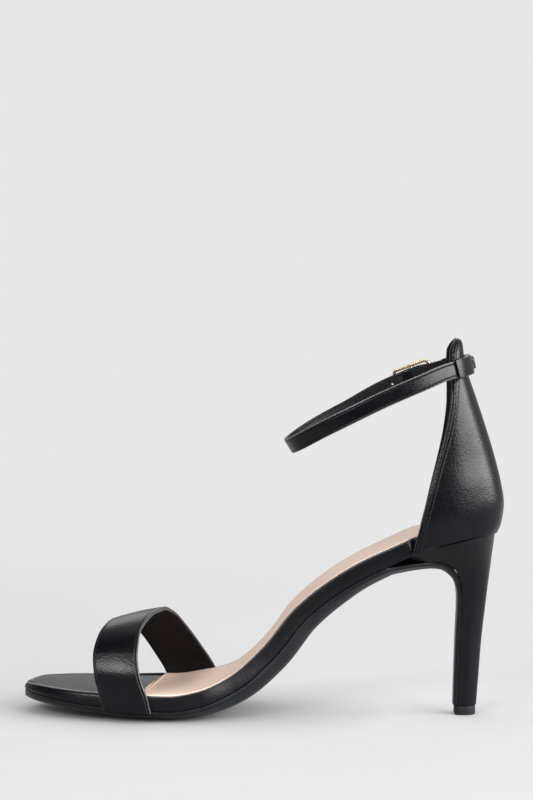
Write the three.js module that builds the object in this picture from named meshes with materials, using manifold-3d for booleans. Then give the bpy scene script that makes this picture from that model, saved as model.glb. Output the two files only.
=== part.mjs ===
// Strappy heeled sandal, right shoe, in millimetres with +Z up.
// The toe points to -X and the heel to +X. The inner side of the foot is -Y,
// and the buckle is on the outer side, +Y. The tread and the top piece of the
// heel stand on the plane Z = 0.
import * as THREE from 'three';
import { mergeVertices } from 'three/addons/utils/BufferGeometryUtils.js';
import Module from 'manifold-3d';

const wasm = await Module();
wasm.setup();

// Overall sizes
const shoeLength = 226;
const heelHeight = 88.6;
const counterHeight = 180;
const ballWidth = 76;
const waistWidth = 43.5;
const seatWidth = 48.5;
const clearance = 0.3;

// Sole
const boardThickness = 7.2;
const boardEdgeRound = 1.0;
const sockThickness = 0.7;
const sockMargin = 1.4;
const sockBackGap = 2.4;
const outsoleEdge = 2.0;
const soleCrown = 3.3;
const outsoleInset = 0.7;
const toeSpring = 2.0;
const footbedDish = 2.0;
const outerDrop = 4.0;
const bedRecess = 0.9;
const bedRim = 0.9;
const toeCapLength = 34;
const tipDrop = 1.5;
const tipDropLength = 10;
const seatCapLength = 25;
const tipFlat = 0.5;
const sockFrontNear = 0.262;
const sockFrontFar = 0.292;
const sockFrontBow = 0.022;

// Heel
const tipLength = 10.2;
const tipWidth = 9.8;
const tipHeight = 4.4;
const tipRound = 1.0;
const columnFront = 92.9;
const archDrop = 14.4;
const archHeight = heelHeight - archDrop;
const archStart = 54;
const breastThickness = 1.8;
const seatBack = 108.4;
const heelOverhang = 1;
const columnCover = 3;
const tipLead = 1.2;
const tipNose = 1.6;

// Toe strap
const toeStrapWall = 2.0;
const toeStrapHeight = 49.2;
const toeStrapWidth = 21.5;
const toeStrapSpan = 21.47;
const toeStrapBow = 0.6;

// Counter
const counterWall = 1.8;
const counterHalfWidth = 26.6;
const counterBack = 113.8;
const counterFront = 69.6;
const farSetback = 4.8;
const counterStepLength = 2.5;
const counterStepGap = 0.5;

// Ankle strap, its loops and its buckle
const strapWidth = 7.8;
const strapThickness = 1.6;
const strapFront = 11.2;
const strapBack = 95.9;
const tabRise = 12.3;
const strapHigh = counterHeight - tabRise;
const strapClimb = 39.7;
const strapLow = strapHigh - strapClimb;
const strapFarLift = 1.6;
const strapHalfSpan = 31;
const strapSquare = 0.86;
const loopWall = 0.9;
const loopLip = 0.4;
const loopRoom = 0.22;
const loopNearReach = 20.6;
const loopFarReach = 14.5;
const keeperWidth = 5;
const keeperAt = 88.4;
const buckleLength = 18;
const wire = 1.7;
const buckleCorner = 2.4;
const prongWire = 1.3;
const holeWidth = 2.2;
const buckleAt = 71.4;
const tipGap = 0.4;

const black = { color: 0x17161a, roughness: 0.42, metalness: 0 };
const leather = (extra) => new THREE.MeshStandardMaterial({ ...black, ...extra });
const gold = () => new THREE.MeshStandardMaterial({ color: 0xc9a566, roughness: 0.28, metalness: 1 });

// Smooth curve through the rows of a table, without overshoot between rows.
function through(rows, key, along = 'at') {
  const x = rows.map((row) => row[along]);
  const y = rows.map((row) => row[key]);
  const last = x.length - 1;
  const rate = x.slice(1).map((value, i) => (y[i + 1] - y[i]) / (value - x[i]));
  const slope = x.map((_, i) => {
    if (i === 0) return rate[0];
    if (i === last) return rate[last - 1];
    const product = rate[i - 1] * rate[i];
    return product <= 0 ? 0 : (2 * product) / (rate[i - 1] + rate[i]);
  });
  return (at) => {
    const t = THREE.MathUtils.clamp(at, x[0], x[last]);
    let i = 0;
    while (i < last - 1 && t > x[i + 1]) i += 1;
    const h = x[i + 1] - x[i];
    const u = (t - x[i]) / h;
    const rising = u * u * (3 - 2 * u);
    const bend = h * u * (1 - u) * ((1 - u) * slope[i] - u * slope[i + 1]);
    return y[i] + (y[i + 1] - y[i]) * rising + bend;
  };
}

const range = (count) => Array.from({ length: count }, (_, i) => i);
const shareList = (count) => range(count).map((i) => i / (count - 1));

// Shares bunched at the start, so that a round end stays round.
const bunched = (count) => shareList(count).map((t) => 1 - Math.cos((Math.PI / 2) * t));

// Closed solid through rings of equally many points, with a fan over each end.
function loft(rings) {
  const count = rings[0].length;
  const points = rings.flat();
  const middle = (ring) => ring
    .reduce((sum, point) => sum.add(point), new THREE.Vector3())
    .divideScalar(ring.length);
  const firstMiddle = points.length;
  points.push(middle(rings[0]), middle(rings[rings.length - 1]));
  const faces = [];
  for (let r = 0; r < rings.length - 1; r += 1) {
    for (let i = 0; i < count; i += 1) {
      const j = (i + 1) % count;
      const [a, b] = [r * count + i, r * count + j];
      faces.push(a, b, b + count, a, b + count, a + count);
    }
  }
  const lastStart = (rings.length - 1) * count;
  for (let i = 0; i < count; i += 1) {
    const j = (i + 1) % count;
    faces.push(firstMiddle, j, i);
    faces.push(firstMiddle + 1, lastStart + i, lastStart + j);
  }
  const geometry = new THREE.BufferGeometry();
  geometry.setAttribute('position', new THREE.BufferAttribute(
    new Float32Array(points.flatMap((p) => [p.x, p.y, p.z])), 3));
  geometry.setIndex(faces);
  return outward(geometry);
}

// Ends of a thin U are closed by strips instead of a fan.
function loftWall(rings) {
  const geometry = loft(rings);
  const count = rings[0].length;
  const half = count / 2;
  const index = Array.from(geometry.index.array);
  const sides = index.slice(0, (rings.length - 1) * count * 6);
  const flipped = geometry.userData.flipped;
  const strip = (start, reverse) => {
    const faces = [];
    for (let i = 0; i < half - 1; i += 1) {
      const [a, b] = [start + i, start + i + 1];
      const [c, d] = [start + count - 1 - i, start + count - 2 - i];
      faces.push(...(reverse ? [a, d, b, a, c, d] : [a, b, d, a, d, c]));
    }
    return faces;
  };
  const lastStart = (rings.length - 1) * count;
  const ends = [...strip(0, !flipped), ...strip(lastStart, flipped)];
  geometry.setIndex([...sides, ...ends]);
  const used = rings.length * count;
  const position = geometry.attributes.position.array.slice(0, used * 3);
  geometry.setAttribute('position', new THREE.BufferAttribute(position, 3));
  return geometry;
}

// Turns the faces of a closed mesh outwards, where they point in.
function outward(geometry) {
  const index = geometry.index.array;
  const position = geometry.attributes.position;
  const [a, b, c] = [new THREE.Vector3(), new THREE.Vector3(), new THREE.Vector3()];
  let volume = 0;
  for (let i = 0; i < index.length; i += 3) {
    a.fromBufferAttribute(position, index[i]);
    b.fromBufferAttribute(position, index[i + 1]);
    c.fromBufferAttribute(position, index[i + 2]);
    volume += a.dot(b.cross(c));
  }
  geometry.userData.flipped = volume < 0;
  if (volume < 0) {
    const turned = Array.from(index);
    for (let i = 0; i < turned.length; i += 3) {
      [turned[i + 1], turned[i + 2]] = [turned[i + 2], turned[i + 1]];
    }
    geometry.setIndex(turned);
  }
  return geometry;
}

function solid(geometry) {
  const bare = geometry.clone();
  bare.deleteAttribute('normal');
  bare.deleteAttribute('uv');
  const merged = mergeVertices(bare, 1e-4);
  return new wasm.Manifold(new wasm.Mesh({
    numProp: 3,
    vertProperties: new Float32Array(merged.attributes.position.array),
    triVerts: new Uint32Array(merged.index.array),
  }));
}

function fromSolid(manifold) {
  const mesh = manifold.getMesh();
  const geometry = new THREE.BufferGeometry();
  geometry.setAttribute('position', new THREE.BufferAttribute(
    new Float32Array(mesh.vertProperties), mesh.numProp));
  geometry.setIndex(Array.from(mesh.triVerts));
  return geometry;
}

const group = new THREE.Group();

function addPart(name, geometry, material) {
  geometry.computeVertexNormals();
  const mesh = new THREE.Mesh(geometry, material);
  mesh.name = name;
  group.add(mesh);
}

// Sole table. at: share of the shoe's length from the toe. spring: share of the
// toe spring. rise: share of the climb to the heel seat. board, crown and dish:
// shares of the board's thickness, the tread's crown and the footbed's dish.
// lean: share of the outer side's drop. half: the inner and outer half widths
// as shares of the width that they follow.
const half = (medial, lateral, width) => ({ medial: medial * width, lateral: lateral * width });
const soleRows = [
  { at: 0.000, spring: 1.00, rise: 0.000, board: 0.56, crown: 0.58, dish: 0.2, lean: 0.10,
    ...half(0.370, 0.370, ballWidth) },
  { at: 0.070, spring: 0.78, rise: 0.000, board: 0.70, crown: 0.65, dish: 0.4, lean: 0.36,
    ...half(0.385, 0.400, ballWidth) },
  { at: 0.150, spring: 0.36, rise: 0.000, board: 0.87, crown: 0.87, dish: 0.7, lean: 0.40,
    ...half(0.420, 0.455, ballWidth) },
  { at: 0.240, spring: 0.00, rise: 0.000, board: 1.00, crown: 1.00, dish: 1.0, lean: 0.30,
    ...half(0.467, 0.505, ballWidth) },
  { at: 0.310, spring: 0.00, rise: 0.000, board: 1.00, crown: 1.00, dish: 1.0, lean: 0.27,
    ...half(0.487, 0.515, ballWidth) },
  { at: 0.368, spring: 0.00, rise: 0.025, board: 1.00, crown: 1.25, dish: 1.0, lean: 0.30,
    ...half(0.471, 0.500, ballWidth) },
  { at: 0.434, spring: 0.00, rise: 0.100, board: 1.00, crown: 1.62, dish: 0.9, lean: 0.76,
    ...half(0.401, 0.447, ballWidth) },
  { at: 0.500, spring: 0.00, rise: 0.252, board: 1.00, crown: 1.70, dish: 0.7, lean: 0.52,
    ...half(0.575, 0.640, waistWidth) },
  { at: 0.566, spring: 0.00, rise: 0.470, board: 1.00, crown: 1.52, dish: 0.5, lean: 0.20,
    ...half(0.494, 0.545, waistWidth) },
  { at: 0.632, spring: 0.00, rise: 0.620, board: 1.02, crown: 1.30, dish: 0.3, lean: 0.05,
    ...half(0.460, 0.505, waistWidth) },
  { at: 0.697, spring: 0.00, rise: 0.733, board: 1.05, crown: 1.00, dish: 0.1, lean: 0.00,
    ...half(0.467, 0.505, waistWidth) },
  { at: 0.763, spring: 0.00, rise: 0.823, board: 1.07, crown: 0.90, dish: 0.0, lean: 0.00,
    ...half(0.453, 0.470, seatWidth) },
  { at: 0.829, spring: 0.00, rise: 0.903, board: 1.07, crown: 0.80, dish: 0.0, lean: 0.00,
    ...half(0.487, 0.487, seatWidth) },
  { at: 0.895, spring: 0.00, rise: 0.953, board: 1.07, crown: 0.60, dish: 0.0, lean: 0.00,
    ...half(0.500, 0.500, seatWidth) },
  { at: 0.960, spring: 0.00, rise: 0.990, board: 1.07, crown: 0.60, dish: 0.0, lean: 0.00,
    ...half(0.500, 0.500, seatWidth) },
  { at: 1.000, spring: 0.00, rise: 1.000, board: 1.07, crown: 0.60, dish: 0.0, lean: 0.00,
    ...half(0.500, 0.500, seatWidth) },
];

const springAt = through(soleRows, 'spring');
const riseAt = through(soleRows, 'rise');
const boardAt = through(soleRows, 'board');
const crownAt = through(soleRows, 'crown');
const dishAt = through(soleRows, 'dish');
const leanAt = through(soleRows, 'lean');
const medialAt = through(soleRows, 'medial');
const lateralAt = through(soleRows, 'lateral');

const toeX = -shoeLength / 2 - 1;
const xAt = (at) => toeX + at * shoeLength;
const shareAt = (x) => (x - toeX) / shoeLength;
const seatEnd = shareAt(seatBack);
const ballTop = boardThickness + clearance + outsoleEdge + soleCrown;
const seatTop = heelHeight + boardThickness + clearance;

// Height of the footbed's top edge along the shoe.
const edgeHeight = (at) => ballTop + toeSpring * springAt(at) + (seatTop - ballTop) * riseAt(at);

// Frame on the footbed's top edge: place, direction along it and upward normal.
function soleFrame(at) {
  const step = 0.004;
  const dx = 2 * step * shoeLength;
  const dz = edgeHeight(at + step) - edgeHeight(at - step);
  const tangent = new THREE.Vector3(dx, 0, dz).normalize();
  const normal = new THREE.Vector3(-tangent.z, 0, tangent.x);
  return { origin: new THREE.Vector3(xAt(at), 0, edgeHeight(at)), normal };
}

// Round ends of the outline: full width away from the toe and the seat's back.
function endRound(at, end) {
  const fromToe = at * shoeLength;
  const fromBack = (end - at) * shoeLength;
  const arc = (distance, cap) => {
    const t = THREE.MathUtils.clamp(1 - distance / cap, 0, 1);
    return Math.sqrt(Math.max(1 - t ** 2.15, 0));
  };
  return Math.min(arc(fromToe, toeCapLength), arc(fromBack, seatCapLength));
}

// Least share of the half width that an inset leaves at the round ends.
const leastHalf = 0.45;

function halfWidth(at, side, inset, end = seatEnd) {
  const full = (side < 0 ? medialAt(at) : lateralAt(at)) * endRound(at, end);
  return Math.max(full - inset, full * leastHalf);
}

// The board steps in where the counter wraps it.
function counterInset(at, across) {
  const end = (across > 0 ? counterFront + farSetback : counterFront) - counterStepGap;
  return THREE.MathUtils.smoothstep(xAt(at), end - counterStepLength, end) * (counterWall + clearance);
}

// Dish of the bed, and the drop of its outer side where the ball line slants.
const soleSag = (at, across) => footbedDish * dishAt(at) * (across * across - 1)
  - outerDrop * leanAt(at) * (across + 1) / 2;

const boardDepth = (at) => boardThickness * boardAt(at);

// How far the board's top comes down where the tip of the toe is rounded.
const tipFall = (at) => tipDrop * Math.max(0, 1 - (at * shoeLength) / tipDropLength) ** 2;

// Point of the sole: across from -1 on the inner side to 1 on the outer side,
// up along the normal from the footbed's top edge.
function solePoint(at, across, up, inset = 0) {
  const { origin, normal } = soleFrame(at);
  const y = across * halfWidth(at, across, inset + counterInset(at, across));
  const fall = tipFall(at) * (1 + up / boardDepth(at));
  return origin.addScaledVector(normal, up + soleSag(at, across) - fall).setY(y);
}

const topAcross = [-1, -0.72, -0.4, 0, 0.4, 0.72, 1];

function footbedRing(at) {
  const depth = boardDepth(at);
  const r = boardEdgeRound;
  const bed = topAcross.map((v) => solePoint(at, v, -bedRecess, r + bedRim));
  const top = [solePoint(at, -1, 0, r), ...bed, solePoint(at, 1, 0, r)];
  const farSide = [[-0.3 * r, 0.3 * r], [-r, 0], [-0.6 * depth, -0.25], [-depth, 0.2]]
    .map(([up, inset]) => solePoint(at, 1, up, inset));
  const bottom = topAcross.slice(1, -1).reverse().map((v) => solePoint(at, v, -depth, 0.2));
  const nearSide = [[-depth, 0.2], [-0.6 * depth, -0.25], [-r, 0], [-0.3 * r, 0.3 * r]]
    .map(([up, inset]) => solePoint(at, -1, up, inset));
  return [...top, ...farSide, ...bottom, ...nearSide];
}

const leaveBoard = shareAt(archStart);

// Shares of the rings along the sole, which the board and the outsole have in
// common as far as the board's waist.
const spaced = (first, last, count) => shareList(count).map((t) => THREE.MathUtils.lerp(first, last, t));
const toeStart = tipFlat / shoeLength;
const toeRings = bunched(10).map((t) => THREE.MathUtils.lerp(toeStart, toeCapLength / shoeLength, t));
const waistRings = spaced(toeRings[toeRings.length - 1], leaveBoard, 28).slice(1);
const seatStart = seatEnd - seatCapLength / shoeLength;
const seatRings = bunched(8).map((t) => THREE.MathUtils.lerp(seatEnd - toeStart, seatStart, t)).reverse();
const outsoleShares = [...toeRings, ...waistRings];
const boardShares = [...outsoleShares, ...spaced(leaveBoard, seatStart, 5).slice(1, -1), ...seatRings];

function makeFootbed() {
  return loft(boardShares.map(footbedRing));
}

function makeSock() {
  const sockLift = clearance * 1.3 - bedRecess;
  const rim = sockMargin + boardEdgeRound + bedRim / 2;
  const back = seatEnd - sockBackGap / shoeLength;
  const front = (v) => THREE.MathUtils.lerp(sockFrontNear, sockFrontFar, (v + 1) / 2)
    - sockFrontBow * (1 - v * v);
  const rings = shareList(30).map((t) => {
    const at = (v) => THREE.MathUtils.lerp(front(v), back, Math.sin(t * Math.PI / 2));
    const top = topAcross.map((v) => solePoint(at(v), v, sockLift + sockThickness, rim));
    const bottom = [...topAcross].reverse().map((v) => solePoint(at(v), v, sockLift, rim));
    return [...top, ...bottom];
  });
  return loftWall(rings);
}

// Path of the outsole's inner face: under the board, then round the arch and
// down the breast of the heel. x and z are shares of the column's front and the
// arch's height, half the half width as a share of the tip's width, and wall the
// thickness as a share of the breast's.
const breastRows = [
  { x: 0.672, z: 0.976, half: 1.98, wall: 2.25 },
  { x: 0.755, z: 0.990, half: 1.72, wall: 2.05 },
  { x: 0.850, z: 1.000, half: 1.42, wall: 2.00 },
  { x: 0.918, z: 0.992, half: 1.20, wall: 2.15 },
  { x: 0.968, z: 0.950, half: 1.00, wall: 2.05 },
  { x: 0.999, z: 0.885, half: 0.84, wall: 1.55 },
  { x: 1.011, z: 0.785, half: 0.72, wall: 1.12 },
  { x: 1.005, z: 0.500, half: 0.60, wall: 1.00 },
  { x: 1.001, z: 0.250, half: 0.52, wall: 1.00 },
  { x: 0.999, z: (tipHeight + clearance) / archHeight, half: 0.48, wall: 1.00 },
];
const treadFlat = 0.42;
const edgeTaper = 0.985;
const edgeShare = outsoleEdge / (outsoleEdge + soleCrown);

// Section across the outsole: an upright edge, then a rounded belly.
function outsoleRing({ place, normal, reach, edge, crown, sag }) {
  const across = [-1, -0.86, -0.62, -0.3, 0, 0.3, 0.62, 0.86, 1];
  const at = (v, up) => place.clone()
    .addScaledVector(normal, up)
    .setY(v * (v < 0 ? reach.medial : reach.lateral));
  const top = across.map((v) => at(v, sag(v)));
  const bottom = [...across].reverse().map((v) => {
    const belly = Math.min(1, (1 - Math.abs(v)) / treadFlat);
    const down = edge + crown * Math.sin(belly * Math.PI / 2);
    return at(v * edgeTaper, sag(v) * (1 - belly) ** 2 - down);
  });
  return [...top, ...bottom];
}

// Curve of the outsole's inner face where it leaves the board for the heel.
function breastCurve(offset = 0) {
  const { origin, normal } = soleFrame(leaveBoard);
  const start = origin.addScaledVector(normal, -boardDepth(leaveBoard) - clearance);
  const points = [start];
  breastRows.forEach((row) => points.push(new THREE.Vector3(row.x * columnFront, 0, row.z * archHeight)));
  const curve = new THREE.CatmullRomCurve3(points, false, 'centripetal');
  return shareList(25).map((t) => {
    const tangent = curve.getTangent(t);
    const up = new THREE.Vector3(-tangent.z, 0, tangent.x);
    return { t, normal: up, place: curve.getPoint(t).addScaledVector(up, offset) };
  });
}

function makeOutsole() {
  const underBoard = outsoleShares.map((at) => {
    const { origin, normal } = soleFrame(at);
    return outsoleRing({
      place: origin.addScaledVector(normal, -boardDepth(at) - clearance),
      normal,
      reach: { medial: halfWidth(at, -1, outsoleInset), lateral: halfWidth(at, 1, outsoleInset) },
      edge: outsoleEdge,
      crown: soleCrown * crownAt(at),
      sag: (v) => soleSag(at, v),
    });
  });
  const startHalf = {
    medial: halfWidth(leaveBoard, -1, outsoleInset),
    lateral: halfWidth(leaveBoard, 1, outsoleInset),
  };
  const stops = breastRows.length;
  const halfRows = breastRows.map(({ half: share }, i) => ({ at: (i + 1) / stops, half: share * tipWidth }));
  const halfAt = through([{ at: 0, half: startHalf.lateral }, ...halfRows], 'half');
  const wallRows = breastRows.map(({ wall }, i) => ({ at: (i + 1) / stops, wall: wall * breastThickness }));
  const startWall = outsoleEdge + soleCrown * crownAt(leaveBoard);
  const wallAt = through([{ at: 0, wall: startWall }, ...wallRows], 'wall');
  const downHeel = breastCurve().slice(1).map(({ t, normal, place }) => {
    const skew = (startHalf.lateral - startHalf.medial) * (1 - THREE.MathUtils.smoothstep(t, 0, 0.2));
    return outsoleRing({
      place,
      normal,
      reach: { medial: halfAt(t) - skew, lateral: halfAt(t) },
      edge: wallAt(t) * edgeShare,
      crown: wallAt(t) * (1 - edgeShare),
      sag: () => 0,
    });
  });
  return loft([...underBoard, ...downHeel]);
}

// Heel table. up: share of the heel's height. back: share of the seat's back.
// half: half width as a share of the seat's width.
const heelRows = [
  { up: 0.050, back: 0.935, half: 0.103 },
  { up: 0.185, back: 0.942, half: 0.108 },
  { up: 0.400, back: 0.953, half: 0.122 },
  { up: 0.620, back: 0.971, half: 0.150 },
  { up: 0.740, back: 0.981, half: 0.195 },
  { up: 0.810, back: 0.988, half: 0.265 },
  { up: 0.870, back: 0.993, half: 0.360 },
  { up: 0.930, back: 0.999, half: 0.455 },
  { up: 0.990, back: 1.004, half: 0.505 },
  { up: 1.080, back: 1.009, half: 0.520 },
];

// Shares of the heel's height where its column flares into the seat, and the
// form of its plan: length and power of the round back, width of the front.
const [flareLow, flareHigh] = [0.66, 0.84];
const [backRound, deepestRound, backPower, frontShare] = [1.15, 0.8, 0.95, 0.94];

// Prism over a side outline, as wide as the shoe and more.
function sidePrism(outline) {
  const shape = new THREE.Shape(outline.map((p) => new THREE.Vector2(p.x, p.z)));
  const geometry = new THREE.ExtrudeGeometry(shape, { depth: 2 * ballWidth, bevelEnabled: false });
  geometry.rotateX(Math.PI / 2);
  geometry.translate(0, ballWidth, 0);
  return outward(mergeVertices(stripped(geometry), 1e-4));
}

function stripped(geometry) {
  geometry.deleteAttribute('normal');
  geometry.deleteAttribute('uv');
  return geometry;
}

function makeHeel() {
  const backAt = through(heelRows, 'back', 'up');
  const halfAt = through(heelRows, 'half', 'up');
  const base = (tipHeight + clearance) / heelHeight;
  const seatFront = xAt(leaveBoard);
  const rings = shareList(29).map((t) => {
    const up = THREE.MathUtils.lerp(base, heelRows[heelRows.length - 1].up, t);
    const back = backAt(up) * (seatBack + heelOverhang);
    const half = halfAt(up) * seatWidth;
    const open = THREE.MathUtils.smoothstep(up, flareLow, flareHigh);
    const front = THREE.MathUtils.lerp(columnFront - columnCover, seatFront, open);
    const depth = back - front;
    const round = Math.min(half * backRound, depth * deepestRound);
    const arc = shareList(15).map((k) => {
      const angle = (k - 0.5) * Math.PI;
      return new THREE.Vector3(
        back - round + round * Math.cos(angle) ** backPower,
        half * Math.sin(angle),
        up * heelHeight);
    });
    const nose = halfWidth(leaveBoard + 0.02, -1, 0);
    const frontHalf = THREE.MathUtils.lerp(half * frontShare, Math.min(nose, half * frontShare), open);
    return [
      new THREE.Vector3(front, -frontHalf, up * heelHeight),
      ...arc,
      new THREE.Vector3(front, frontHalf, up * heelHeight),
    ];
  });
  const breast = breastCurve(clearance).map(({ place }) => place);
  const low = -heelHeight;
  const breastCutter = sidePrism([
    ...breast,
    new THREE.Vector3(breast[breast.length - 1].x, 0, low),
    new THREE.Vector3(0, 0, low),
    new THREE.Vector3(0, 0, breast[0].z),
  ]);
  const seatLine = shareList(24).map((t) => {
    const at = THREE.MathUtils.lerp(leaveBoard - 0.03, 1.04, t);
    const { origin, normal } = soleFrame(Math.min(at, 1));
    const place = origin.addScaledVector(normal, -boardDepth(Math.min(at, 1)) - clearance);
    return at > 1 ? place.setX(place.x + (at - 1) * shoeLength) : place;
  });
  const high = counterHeight;
  const seatCutter = sidePrism([
    ...seatLine,
    new THREE.Vector3(seatLine[seatLine.length - 1].x, 0, high),
    new THREE.Vector3(seatLine[0].x, 0, high),
  ]);
  return fromSolid(solid(loft(rings)).subtract(solid(seatCutter)).subtract(solid(breastCutter)));
}

function makeTopPiece() {
  const x0 = columnFront - tipLead;
  const half = tipWidth / 2;
  const nose = tipNose;
  const shape = new THREE.Shape();
  const inset = tipRound * 0.5;
  const length = tipLength - 2 * inset;
  const wide = half - inset;
  const back = x0 + inset + length;
  shape.moveTo(x0 + inset, -wide + nose);
  shape.quadraticCurveTo(x0 + inset, -wide, x0 + inset + nose, -wide);
  shape.lineTo(back - wide, -wide);
  shape.absarc(back - wide, 0, wide, -Math.PI / 2, Math.PI / 2);
  shape.lineTo(x0 + inset + nose, wide);
  shape.quadraticCurveTo(x0 + inset, wide, x0 + inset, wide - nose);
  const geometry = new THREE.ExtrudeGeometry(shape, {
    depth: tipHeight - 2 * inset,
    bevelThickness: inset,
    bevelSize: inset,
    bevelSegments: 1,
    curveSegments: 8,
  });
  geometry.translate(0, 0, inset);
  return fromSolid(solid(geometry));
}

// Toe strap table. run: share of the way over the foot. across: place across
// the sole, in half widths. frontX and rearX: shares of the shoe's length from
// the toe. frontZ and rearZ: shares of the strap's height.
const toeStrapRows = [
  { run: 0.00, across: -1.00, frontX: 0.176, frontZ: 0.118, rearX: 0.275, rearZ: 0.102 },
  { run: 0.08, across: -1.01, frontX: 0.166, frontZ: 0.264, rearX: 0.266, rearZ: 0.264 },
  { run: 0.17, across: -1.00, frontX: 0.156, frontZ: 0.440, rearX: 0.252, rearZ: 0.440 },
  { run: 0.27, across: -0.90, frontX: 0.152, frontZ: 0.630, rearX: 0.245, rearZ: 0.650 },
  { run: 0.36, across: -0.70, frontX: 0.158, frontZ: 0.776, rearX: 0.247, rearZ: 0.826 },
  { run: 0.45, across: -0.42, frontX: 0.170, frontZ: 0.868, rearX: 0.260, rearZ: 0.944 },
  { run: 0.52, across: -0.12, frontX: 0.184, frontZ: 0.902, rearX: 0.276, rearZ: 0.993 },
  { run: 0.58, across: 0.15, frontX: 0.198, frontZ: 0.898, rearX: 0.291, rearZ: 0.995 },
  { run: 0.66, across: 0.44, frontX: 0.215, frontZ: 0.832, rearX: 0.311, rearZ: 0.925 },
  { run: 0.75, across: 0.70, frontX: 0.238, frontZ: 0.682, rearX: 0.341, rearZ: 0.735 },
  { run: 0.84, across: 0.91, frontX: 0.264, frontZ: 0.470, rearX: 0.370, rearZ: 0.525 },
  { run: 0.92, across: 1.00, frontX: 0.286, frontZ: 0.285, rearX: 0.395, rearZ: 0.345 },
  { run: 1.00, across: 1.00, frontX: 0.301, frontZ: 0.128, rearX: 0.411, rearZ: 0.205 },
];

const boardLean = 0.018;
const strapToBoard = 2.6 * clearance;

function makeToeStrap() {
  const at = (key) => through(toeStrapRows, key, 'run');
  const [across, frontX, frontZ, rearX, rearZ] = ['across', 'frontX', 'frontZ', 'rearX', 'rearZ'].map(at);
  const widthShare = toeStrapWidth / toeStrapSpan;
  const outer = (run, k) => {
    const middle = (frontX(run) + rearX(run)) / 2;
    const reach = ((rearX(run) - frontX(run)) / 2) * widthShare;
    const share = middle + (2 * k - 1) * reach;
    const z = THREE.MathUtils.lerp(frontZ(run), rearZ(run), k) * toeStrapHeight;
    const v = across(run);
    const widest = Math.max(halfWidth(share, v, 0), halfWidth(share - boardLean, v, 0));
    const half = widest + strapToBoard + toeStrapWall;
    const bow = toeStrapBow * Math.sin(Math.PI * k);
    return new THREE.Vector3(xAt(share), v * half + bow * v, z + bow * (1 - Math.abs(v)));
  };
  const inward = (run, k) => {
    const step = 0.01;
    const along = outer(Math.min(run + step, 1), k).sub(outer(Math.max(run - step, 0), k));
    const wide = outer(run, Math.min(k + 0.05, 1)).sub(outer(run, Math.max(k - 0.05, 0)));
    return along.cross(wide).normalize();
  };
  const ks = [0, 0.25, 0.5, 0.75, 1];
  const rings = shareList(35).map((run) => {
    const outside = ks.map((k) => outer(run, k));
    const inside = ks.map((k) => outer(run, k).addScaledVector(inward(run, k), toeStrapWall)).reverse();
    return [...outside, ...inside];
  });
  return loftWall(rings);
}

// Counter table. up: share of the counter's height above the seat seam. front
// and back: places of its front edge and its back, from 0 at the lower front
// corner to 1 at the furthest back. far: how much further back the front edge is
// on the outer side. half: share of its half width. round: power
// of its plan, 2 for a round one and more for straight sides.
const counterRows = [
  { up: 0.00, front: 0.000, far: 0.108, back: 0.934, half: 0.945, round: 2.7 },
  { up: 0.05, front: 0.022, far: 0.107, back: 0.975, half: 0.965, round: 2.7 },
  { up: 0.15, front: 0.080, far: 0.105, back: 1.000, half: 1.000, round: 2.6 },
  { up: 0.25, front: 0.135, far: 0.098, back: 0.968, half: 0.990, round: 2.5 },
  { up: 0.40, front: 0.222, far: 0.085, back: 0.887, half: 0.930, round: 2.3 },
  { up: 0.55, front: 0.315, far: 0.055, back: 0.788, half: 0.865, round: 2.2 },
  { up: 0.70, front: 0.378, far: 0.020, back: 0.680, half: 0.770, round: 2.1 },
  { up: 0.82, front: 0.390, far: 0.000, back: 0.591, half: 0.640, round: 2.1 },
  { up: 0.90, front: 0.372, far: 0.000, back: 0.547, half: 0.480, round: 2.1 },
  { up: 0.94, front: 0.374, far: 0.000, back: 0.539, half: 0.400, round: 2.1 },
  { up: 0.97, front: 0.398, far: 0.000, back: 0.530, half: 0.305, round: 2.0 },
  { up: 0.99, front: 0.428, far: 0.000, back: 0.514, half: 0.205, round: 2.0 },
  { up: 1.00, front: 0.452, far: 0.000, back: 0.494, half: 0.130, round: 2.0 },
];
const counterAt = (key) => through(counterRows, key, 'up');
const [counterFrontAt, counterFarAt, counterBackAt, counterHalfAt, counterRoundAt] = [
  'front', 'far', 'back', 'half', 'round'].map(counterAt);
const counterDepth = counterBack - counterFront;

// The seam under the counter is level behind this share of the shoe's length.
const seamEnd = 0.985;

// Height of the seam under the counter at a place along the shoe.
function seamHeight(x) {
  const at = Math.min(shareAt(x), seamEnd);
  const { origin, normal } = soleFrame(at);
  return origin.addScaledVector(normal, -boardDepth(at)).z;
}

function counterPlan(up, inset) {
  const nearFront = counterFront + counterFrontAt(up) * counterDepth;
  const back = counterFront + counterBackAt(up) * counterDepth - inset;
  const half = counterHalfAt(up) * counterHalfWidth - inset;
  const power = 2 / counterRoundAt(up);
  return shareList(21).map((t) => {
    const angle = (t - 0.5) * Math.PI;
    const front = nearFront + (angle > 0 ? counterFarAt(up) * counterDepth : 0);
    const x = front + (back - front) * Math.max(Math.cos(angle), 0) ** power;
    const y = half * Math.sign(Math.sin(angle)) * Math.abs(Math.sin(angle)) ** power;
    return new THREE.Vector3(x, y, 0);
  });
}

function counterRing(up) {
  const lowOuter = counterPlan(0, 0);
  const outer = counterPlan(up, 0);
  const inner = counterPlan(up, counterWall);
  const lift = (point, i) => {
    const seam = seamHeight(lowOuter[i].x);
    return point.setZ(THREE.MathUtils.lerp(seam, counterHeight, up));
  };
  return [...outer.map(lift), ...inner.map(lift).reverse()];
}

function makeCounter() {
  const ups = [...spaced(0, 0.89, 14), 0.93, 0.96, 0.985, 1];
  return loftWall(ups.map(counterRing));
}

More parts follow.
